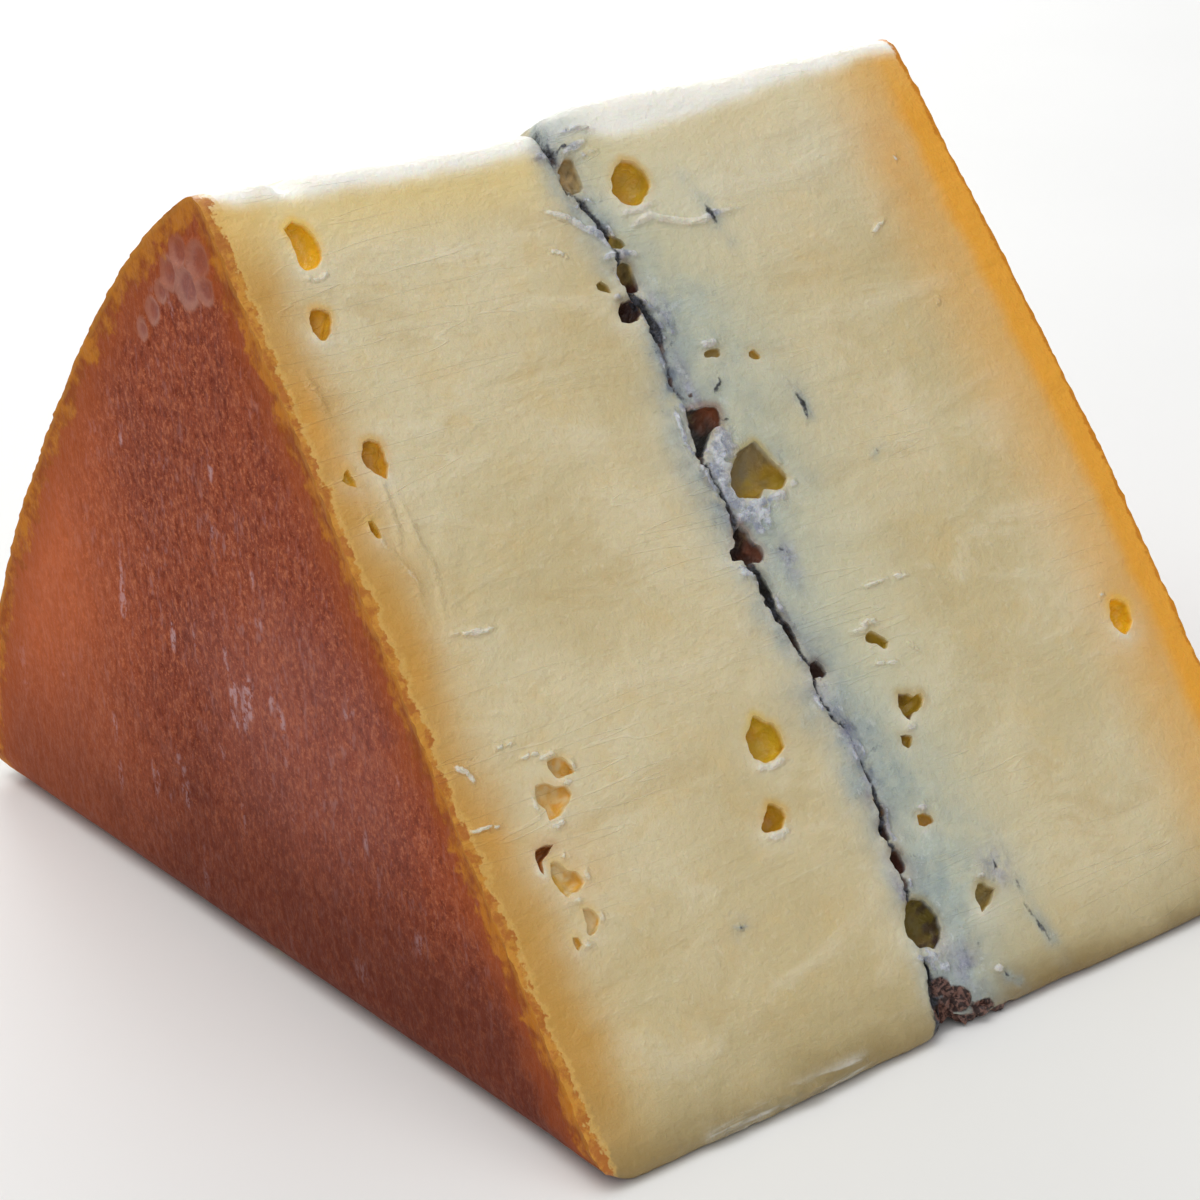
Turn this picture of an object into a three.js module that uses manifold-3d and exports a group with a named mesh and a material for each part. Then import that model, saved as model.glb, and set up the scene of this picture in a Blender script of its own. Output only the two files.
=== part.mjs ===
// Wedge of a small washed-rind cheese with a line of ash through its middle, cut from a round wheel.
// Units are millimetres, +Z up. The wedge stands on its rim side: X runs along the wheel's axis from one
// flat rind face to the other, Y from the front cut's foot to the back cut's foot, Z up to the cut tip.
// One solid: the rind grows out of the paste and is the same body.
import * as THREE from "three";
import * as BufferGeometryUtils from "three/addons/utils/BufferGeometryUtils.js";
import Module from "manifold-3d";

const wasm = await Module();
wasm.setup();

// ---- driving dimensions -------------------------------------------------------------------------
const WIDTH_FOOT = 76; // rind face to rind face, at the rim side
const WIDTH_TIP = 73; // rind face to rind face, at the cut tip
const CUT_LENGTH = 85; // front cut, from tip to foot
const TIP_HEIGHT = 68; // height of the tip above the resting face
const TIP_ROUND = 1.6; // radius of the cut tip
const FOOT_ROUND = 1.8; // radius where a cut meets the rim side
const RIM_ROUND = 3.2; // radius where a rind face turns into the rim side
const RIND_CROWN = 0.9; // outward crown of each rind face at mid height
const ASH_X_TIP = -1.9; // ash line, across the width, at the tip
const ASH_X_FOOT = -2.7; // ash line, across the width, at the foot
const CREASE_DEPTH = 1.3; // crease that the ash line leaves in the rim side
const CREASE_HALF = 2.3; // half width of that crease
const TIP_SAG = 1.3; // how far the tip edge dips at the ash line
const SEAM_HALF = 0.55; // half width of the open seam along the ash line
const SEAM_DEPTH = 0.9; // its depth below the cut face

// Foot of the front cut, straight below-left of the tip when seen along X.
const FOOT_Y = -Math.sqrt(CUT_LENGTH ** 2 - TIP_HEIGHT ** 2);

// The back cut is not flat: it bellies outwards. Points run from near the tip to its foot.
const BACK_CUT = [
  [2.9, 66.9], [4.9, 65.4], [9.4, 62.1], [13.6, 58.6], [17.2, 55.2], [20.3, 51.9],
  [23.5, 48.4], [26.5, 45.0], [28.9, 42.1], [34.4, 35.0], [39.2, 28.0], [43.1, 21.0],
  [46.2, 14.0], [48.4, 7.4],
];

// Open eyes on the front cut: across from the left rind edge, down from the tip, half width,
// half length, depth, lean in degrees.
const FRONT_EYES = [
  [8.6, 6.5, 1.55, 2.2, 2.4, 20], [7.0, 13.3, 1.0, 1.5, 1.5, 0], [6.6, 25.1, 1.2, 1.9, 1.8, 12],
  [4.1, 30.5, 0.6, 0.95, 0.9, 0], [10.6, 53.4, 1.35, 1.5, 0.9, 0], [6.5, 59.3, 1.0, 1.5, 1.5, 0],
  [8.0, 64.8, 1.1, 1.6, 0.9, 30], [29.9, 56.7, 2.0, 2.1, 2.6, 0], [27.4, 62.8, 1.4, 1.4, 1.9, 0],
  [40.8, 8.2, 2.1, 2.1, 2.6, 0], [35.6, 5.6, 1.2, 1.9, 1.2, 0], [36.2, 17.4, 1.3, 2.5, 2.6, 0],
  [37.4, 30.2, 1.6, 2.3, 2.8, 0], [40.3, 35.3, 2.8, 2.6, 3.2, 0], [36.2, 41.2, 1.6, 2.4, 2.8, 0],
  [37.4, 52.7, 0.95, 0.95, 1.4, 0], [44.6, 51.8, 1.4, 0.95, 1.3, 0], [45.0, 58.2, 1.3, 1.9, 1.9, -15],
  [43.2, 60.9, 0.7, 0.7, 0.8, 0], [41.4, 67.4, 0.75, 0.75, 0.8, 0], [43.7, 75.1, 1.15, 1.45, 1.6, 0],
  [70.2, 57.4, 1.3, 1.85, 1.8, 0], [36.7, 75.2, 1.9, 2.3, 3.0, 0], [37.2, 69.6, 0.7, 1.5, 1.6, 0],
];

// Open eyes on the back cut: x across, height, half width, half length, depth.
const BACK_EYES = [
  [-24.5, 52.0, 1.9, 1.6, 2.0], [-16.0, 31.0, 1.3, 1.9, 1.7], [-27.0, 17.0, 1.6, 1.3, 1.5],
  [16.5, 45.0, 2.2, 1.8, 2.4], [24.0, 24.0, 1.5, 2.0, 1.9], [10.0, 12.5, 1.2, 1.2, 1.3],
  [-1.0, 40.0, 1.5, 2.3, 2.2], [-3.2, 22.0, 1.4, 2.0, 2.0],
];

// ---- helpers ------------------------------------------------------------------------------------
const toSolid = (geometry) => {
  const g = geometry.clone();
  g.deleteAttribute("normal");
  g.deleteAttribute("uv");
  const m = BufferGeometryUtils.mergeVertices(g, 1e-4);
  return new wasm.Manifold(
    new wasm.Mesh({
      numProp: 3,
      vertProperties: new Float32Array(m.attributes.position.array),
      triVerts: new Uint32Array(m.index.array),
    }),
  );
};

const fromSolid = (solid) => {
  const mesh = solid.getMesh();
  const g = new THREE.BufferGeometry();
  const p = new Float32Array(mesh.numVert * 3);
  for (let i = 0; i < mesh.numVert; i++)
    for (let k = 0; k < 3; k++) p[3 * i + k] = mesh.vertProperties[mesh.numProp * i + k];
  g.setAttribute("position", new THREE.BufferAttribute(p, 3));
  g.setIndex(new THREE.BufferAttribute(new Uint32Array(mesh.triVerts), 1));
  return g;
};

// Extrusion of a shape along +Z of its own frame, centred, then turned by a matrix.
const slab = (shape, depth, curveSegments, matrix) => {
  const g = new THREE.ExtrudeGeometry(shape, { depth, steps: 1, bevelEnabled: false, curveSegments });
  g.translate(0, 0, -depth / 2);
  g.applyMatrix4(matrix);
  return toSolid(g);
};

// ---- side profile: Y across, Z up, extruded along X ----------------------------------------------
const cutDir = new THREE.Vector2(FOOT_Y, -TIP_HEIGHT).normalize(); // down the front cut
const side = new THREE.Shape();
const footRun = FOOT_ROUND * 1.9;
side.moveTo(FOOT_Y + footRun, 0);
side.lineTo(45.4, 0);
side.quadraticCurveTo(49.2, 0.1, 49.3, 3.0);
side.splineThru([...BACK_CUT].reverse().map(([y, z]) => new THREE.Vector2(y, z)));
side.quadraticCurveTo(1.0, TIP_HEIGHT, 0, TIP_HEIGHT - 0.15);
side.quadraticCurveTo(-0.7, TIP_HEIGHT - 0.6, cutDir.x * TIP_ROUND * 1.4, TIP_HEIGHT + cutDir.y * TIP_ROUND * 1.4);
side.lineTo(FOOT_Y - cutDir.x * footRun, -cutDir.y * footRun);
side.quadraticCurveTo(FOOT_Y + 0.5, 0.3, FOOT_Y + footRun, 0);
const alongX = new THREE.Matrix4().makeBasis(
  new THREE.Vector3(0, 1, 0),
  new THREE.Vector3(0, 0, 1),
  new THREE.Vector3(1, 0, 0),
);
const sideSolid = slab(side, WIDTH_FOOT + 20, 5, alongX);

// ---- front outline: X across, Z up, extruded along Y ---------------------------------------------
const halfFoot = WIDTH_FOOT / 2;
const halfTip = WIDTH_TIP / 2;
const front = new THREE.Shape();
front.moveTo(-halfFoot + RIM_ROUND, 0);
front.lineTo(ASH_X_FOOT - CREASE_HALF, 0);
front.quadraticCurveTo(ASH_X_FOOT - 0.5, 0.05, ASH_X_FOOT, CREASE_DEPTH);
front.quadraticCurveTo(ASH_X_FOOT + 0.6, 0.05, ASH_X_FOOT + CREASE_HALF + 0.8, 0);
front.lineTo(halfFoot - RIM_ROUND, 0);
front.quadraticCurveTo(halfFoot, 0, halfFoot + 0.1, RIM_ROUND);
front.quadraticCurveTo((halfFoot + halfTip) / 2 + 2 * RIND_CROWN, TIP_HEIGHT * 0.55, halfTip, TIP_HEIGHT - 0.4);
front.lineTo(ASH_X_TIP + 7, TIP_HEIGHT - 0.35);
front.quadraticCurveTo(ASH_X_TIP + 2.2, TIP_HEIGHT - 0.5, ASH_X_TIP + 1.0, TIP_HEIGHT - TIP_SAG);
front.lineTo(ASH_X_TIP, TIP_HEIGHT - TIP_SAG - 0.9);
front.lineTo(ASH_X_TIP - 1.2, TIP_HEIGHT - TIP_SAG - 0.05);
front.quadraticCurveTo(-halfTip * 0.55, TIP_HEIGHT - TIP_SAG * 0.75, -halfTip + 8, TIP_HEIGHT - 0.4);
front.lineTo(-halfTip, TIP_HEIGHT - 0.5);
front.quadraticCurveTo(-(halfFoot + halfTip) / 2 - 2 * RIND_CROWN, TIP_HEIGHT * 0.55, -halfFoot - 0.1, RIM_ROUND);
front.quadraticCurveTo(-halfFoot, 0, -halfFoot + RIM_ROUND, 0);
const alongY = new THREE.Matrix4().makeBasis(
  new THREE.Vector3(1, 0, 0),
  new THREE.Vector3(0, 0, 1),
  new THREE.Vector3(0, -1, 0),
);
const frontSolid = slab(front, 160, 6, alongY);

let body = sideSolid.intersect(frontSolid);

// ---- openings -----------------------------------------------------------------------------------
// Frame of the front cut: X across, s down the cut, n out of it.
const cutS = new THREE.Vector3(0, FOOT_Y / CUT_LENGTH, -TIP_HEIGHT / CUT_LENGTH);
const cutN = new THREE.Vector3(0, -TIP_HEIGHT / CUT_LENGTH, -FOOT_Y / CUT_LENGTH);
const onCut = (across, down) =>
  new THREE.Vector3(across - WIDTH_FOOT / 2, 0, TIP_HEIGHT).addScaledVector(cutS, down);

const eye = (centre, ax, as, an, rx, rs, depth, lean) => {
  const g = new THREE.SphereGeometry(1, 10, 7);
  g.scale(rx, rs, depth);
  g.rotateZ(THREE.MathUtils.degToRad(lean));
  g.applyMatrix4(new THREE.Matrix4().makeBasis(ax, as, an));
  g.translate(centre.x, centre.y, centre.z);
  return toSolid(g);
};

const cutX = new THREE.Vector3(1, 0, 0);
const cutUp = cutS.clone().negate(); // X, up the cut, out of it: a right-handed frame
for (const [across, down, rx, rs, depth, lean] of FRONT_EYES)
  body = body.subtract(eye(onCut(across, down), cutX, cutUp, cutN, rx, rs, depth, lean));

// Height to point and outward direction on the back cut.
const backPoint = (z) => {
  for (let i = 1; i < BACK_CUT.length; i++) {
    const [y0, z0] = BACK_CUT[i - 1];
    const [y1, z1] = BACK_CUT[i];
    if (z <= z0 && z >= z1) {
      const t = (z0 - z) / (z0 - z1);
      const down = new THREE.Vector3(0, y1 - y0, z1 - z0).normalize();
      return { y: y0 + t * (y1 - y0), down, out: new THREE.Vector3(0, -down.z, down.y) };
    }
  }
  throw new Error("height off the back cut");
};
for (const [x, z, rx, rs, depth] of BACK_EYES) {
  const { y, down, out } = backPoint(z);
  const across = new THREE.Vector3().crossVectors(down, out);
  body = body.subtract(eye(new THREE.Vector3(x, y, z), across, down, out, rx, rs, depth, 0));
}

// The seam along the ash line stands a little open on both cuts: a thin wedge-shaped groove.
const groove = (a, b, out) => {
  const along = b.clone().sub(a);
  const length = along.length();
  along.normalize();
  const section = new THREE.Shape();
  section.moveTo(-SEAM_HALF, 0.4);
  section.lineTo(-SEAM_HALF * 0.9, 0);
  section.lineTo(0, -SEAM_DEPTH);
  section.lineTo(SEAM_HALF * 0.9, 0);
  section.lineTo(SEAM_HALF, 0.4);
  section.closePath();
  const across = new THREE.Vector3().crossVectors(out, along).normalize();
  const up = new THREE.Vector3().crossVectors(along, across);
  const m = new THREE.Matrix4().makeBasis(across, up, along);
  const g = new THREE.ExtrudeGeometry(section, { depth: length, steps: 1, bevelEnabled: false });
  g.applyMatrix4(m);
  g.translate(a.x, a.y, a.z);
  return toSolid(g);
};
const seamStops = [
  [36.2, 1.0], [36.1, 20.0], [37.4, 30.0], [36.0, 43.0], [37.3, 55.0], [37.4, 66.0], [35.2, 84.0],
];
for (let i = 1; i < seamStops.length; i++)
  body = body.subtract(groove(onCut(...seamStops[i - 1]), onCut(...seamStops[i]), cutN));
const backStops = BACK_CUT.filter(([, z]) => z < 64.5);
const wander = (z) => -1.9 + 0.7 * Math.sin(z / 8);
for (let i = 1; i < backStops.length; i++) {
  const [y0, z0] = backStops[i - 1];
  const [y1, z1] = backStops[i];
  const out = new THREE.Vector3(0, z0 - z1, y1 - y0).normalize();
  body = body.subtract(
    groove(new THREE.Vector3(wander(z0), y0, z0), new THREE.Vector3(wander(z1), y1, z1), out),
  );
}

// Keep the one body, and stand it with its box centred over the origin and its foot at z = 0.
const bodies = body.decompose().sort((a, b) => b.volume() - a.volume());
const wedgeGeometry = fromSolid(bodies[0]);
wedgeGeometry.computeBoundingBox();
const box = wedgeGeometry.boundingBox;
wedgeGeometry.translate(
  -(box.min.x + box.max.x) / 2,
  -(box.min.y + box.max.y) / 2,
  -box.min.z,
);
wedgeGeometry.computeVertexNormals();

const paste = new THREE.MeshStandardMaterial({ color: 0xd9bf83, roughness: 0.45, metalness: 0 });
const wedge = new THREE.Mesh(wedgeGeometry, paste);
wedge.name = "cheese_wedge";

const root = new THREE.Group();
root.add(wedge);

export default root;
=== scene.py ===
import math
import bpy
import numpy as np
from mathutils import Matrix, Vector
from mathutils.geometry import delaunay_2d_cdt


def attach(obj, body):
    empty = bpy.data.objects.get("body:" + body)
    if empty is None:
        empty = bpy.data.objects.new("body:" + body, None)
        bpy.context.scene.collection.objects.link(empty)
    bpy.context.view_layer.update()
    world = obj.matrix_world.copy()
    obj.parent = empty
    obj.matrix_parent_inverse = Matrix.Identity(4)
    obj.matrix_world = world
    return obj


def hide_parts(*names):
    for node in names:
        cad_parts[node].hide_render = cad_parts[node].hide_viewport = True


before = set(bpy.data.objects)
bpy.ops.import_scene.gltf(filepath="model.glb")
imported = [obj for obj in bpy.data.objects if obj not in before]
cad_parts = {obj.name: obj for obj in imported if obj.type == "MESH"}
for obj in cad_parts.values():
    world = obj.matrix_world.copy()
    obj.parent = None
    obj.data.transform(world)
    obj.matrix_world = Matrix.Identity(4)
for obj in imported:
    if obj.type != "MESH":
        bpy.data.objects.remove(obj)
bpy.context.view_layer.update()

rng = np.random.default_rng(329)

# =====================================================================================
# Shape of the wedge, in millimetres. X across the wheel, Y front foot to back foot, Z up.
# "s" runs down the front cut from the sharp tip line; "u" is X squared up to a rectangle.
# =====================================================================================
TIP_Y, TIP_Z = 0.09, 68.0
CUT = 85.0
FOOT_Y = TIP_Y - math.sqrt(CUT ** 2 - TIP_Z ** 2)
HEEL_Y = 49.35
HALF = 38.0
S_DIR = np.array([0.0, (FOOT_Y - TIP_Y) / CUT, -TIP_Z / CUT])
N_FRONT = np.array([0.0, -TIP_Z / CUT, -(FOOT_Y - TIP_Y) / CUT])
R_TIP, R_FOOT, R_HEEL, R_RIM = 2.1, 0.85, 3.0, 3.4


def half_left(z):
    return 38.0 - 1.5 * z / TIP_Z + 0.15 * np.sin(np.pi * z / TIP_Z)


def half_right(z):
    return 38.0 - 1.5 * z / TIP_Z + 1.0 * np.sin(np.pi * z / TIP_Z)


def u_to_x(u, z):
    return np.where(u < 0, u * half_left(z) / HALF, u * half_right(z) / HALF)


def x_to_u(x, z):
    return np.where(x < 0, x * HALF / half_left(z), x * HALF / half_right(z))


# ---- vectorised noise ---------------------------------------------------------------
def _hash(ix, iy, iz, seed):
    h = (ix.astype(np.int64) * 374761393 + iy.astype(np.int64) * 668265263
         + iz.astype(np.int64) * 2147483647 + np.int64(seed) * 974634777)
    h = (h ^ (h >> 13)) * 1274126177
    h = h & 0x7FFFFFFF
    h = (h ^ (h >> 16)) * 668265263
    return ((h & 0xFFFFFF) / float(0xFFFFFF)) * 2.0 - 1.0


def noise3(p, scale, seed=0):
    """Smooth value noise in -1..1; scale is cells per millimetre (a number or three)."""
    q = np.asarray(p, float) * np.asarray(scale, float)
    i = np.floor(q).astype(np.int64)
    f = q - i
    f = f * f * f * (f * (f * 6 - 15) + 10)
    out = 0.0
    for dx in (0, 1):
        wx = f[:, 0] if dx else 1 - f[:, 0]
        for dy in (0, 1):
            wy = f[:, 1] if dy else 1 - f[:, 1]
            for dz in (0, 1):
                wz = f[:, 2] if dz else 1 - f[:, 2]
                out = out + wx * wy * wz * _hash(i[:, 0] + dx, i[:, 1] + dy, i[:, 2] + dz, seed)
    return out


def fbm(p, scale, octaves=4, seed=0, gain=0.5):
    total, amp, norm = 0.0, 1.0, 0.0
    for k in range(octaves):
        total = total + amp * noise3(p, np.asarray(scale, float) * 2 ** k, seed + 17 * k)
        norm += amp
        amp *= gain
    return total / norm


def smooth(a, b, v):
    t = np.clip((np.asarray(v, float) - a) / (b - a), 0.0, 1.0)
    return t * t * (3 - 2 * t)


# ---- side profile as a dense closed loop --------------------------------------------
def back_curve():
    pts = np.array([(TIP_Y, 68.0), (2.9, 66.9), (4.9, 65.4), (9.4, 62.1), (13.6, 58.6), (17.2, 55.2), (20.3, 51.9),
                    (23.5, 48.4), (26.5, 45.0), (28.9, 42.1), (34.4, 35.0), (39.2, 28.0), (43.1, 21.0), (46.2, 14.0),
                    (48.4, 7.4), (49.3, 3.0), (HEEL_Y + 0.1, 0.0)])
    c = np.polyfit(pts[:, 1], pts[:, 0], 5, w=np.r_[6.0, np.ones(len(pts) - 2), 3.0])
    z = np.linspace(0.0, 68.0, 260)
    return np.c_[np.polyval(c, z), z]


def fillet(p, din, dout, r, n):
    cos = float(np.clip(np.dot(din, dout), -1, 1))
    phi = math.acos(cos)
    t = r * math.tan(phi / 2)
    a = p - din * t
    nrm = np.array([-din[1], din[0]])  # to the inside of a loop that turns left
    c = a + nrm * r
    out = []
    for k in range(n + 1):
        q = phi * k / n
        v = -nrm
        out.append(c + r * np.array([v[0] * math.cos(q) - v[1] * math.sin(q), v[0] * math.sin(q) + v[1] * math.cos(q)]))
    return np.array(out), t


def make_profile():
    A, D = np.array([TIP_Y, TIP_Z]), np.array([FOOT_Y, 0.0])
    bc = back_curve()
    E = bc[0]
    down = (D - A) / np.linalg.norm(D - A)
    up0 = bc[6] - bc[0]
    up0 /= np.linalg.norm(up0)
    up1 = bc[-1] - bc[-8]
    up1 /= np.linalg.norm(up1)
    fe, te = fillet(E, np.array([1.0, 0.0]), up0, R_HEEL, 14)
    fa, ta = fillet(bc[-1], up1, down, R_TIP, 14)
    fd, td = fillet(D, down, np.array([1.0, 0.0]), R_FOOT, 14)
    mid = bc[(bc[:, 1] > fe[-1][1] + 0.1) & (bc[:, 1] < fa[0][1] - 0.1)]
    loop, seg = [], []

    def put(ps, name):
        for q in ps:
            loop.append(q)
            seg.append(name)

    put([np.array([y, 0.0]) for y in np.linspace(0.0, E[0] - te, 60)[:-1]], 0)
    put(fe, 1)
    put(mid, 2)
    put(fa, 3)
    s0, s1 = ta, CUT - td
    put([A + down * s for s in np.linspace(s0, s1, 300)[1:-1]], 4)
    put(fd, 5)
    put([np.array([y, 0.0]) for y in np.linspace(D[0] + td, 0.0, 60)[1:]], 0)
    loop = np.array(loop)
    d = np.r_[0.0, np.cumsum(np.linalg.norm(np.diff(loop, axis=0), axis=1))]
    tan = np.gradient(loop, d, axis=0)
    tan[0] = tan[-1] = (1.0, 0.0)
    tan /= np.linalg.norm(tan, axis=1)[:, None]
    nrm = np.c_[tan[:, 1], -tan[:, 0]]
    seg = np.array(seg)
    t_front0 = d[np.where(seg == 4)[0][0]] - (np.linalg.norm(loop[np.where(seg == 4)[0][0]] - A))
    return loop, d, nrm, seg, t_front0, s0, s1


PROF, PT, PN, PSEG, T_FRONT0, S0, S1 = make_profile()
TL = PT[-1]
T_FD0 = PT[np.where(PSEG == 5)[0][0]]
T_FD1 = PT[np.where(PSEG == 5)[0][-1]]
T_FA0 = PT[np.where(PSEG == 3)[0][0]]
T_FA1 = PT[np.where(PSEG == 3)[0][-1]]
T_FE0 = PT[np.where(PSEG == 1)[0][0]]
T_FE1 = PT[np.where(PSEG == 1)[0][-1]]
T_RIND_FRONT = T_FD0 + 0.86 * (T_FD1 - T_FD0)  # paste turns to rind under the foot
T_RIND_BACK = T_FE0 + 0.35 * (T_FE1 - T_FE0)


def prof_at(t):
    y = np.interp(t, PT, PROF[:, 0])
    z = np.interp(t, PT, PROF[:, 1])
    n = np.c_[np.interp(t, PT, PN[:, 0]), np.interp(t, PT, PN[:, 1])]
    n /= np.linalg.norm(n, axis=1)[:, None]
    return y, z, n


def t_of_s(s):
    return T_FRONT0 + np.asarray(s, float)


def z_of_s(s):
    return TIP_Z * (1 - np.asarray(s, float) / CUT)


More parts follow.
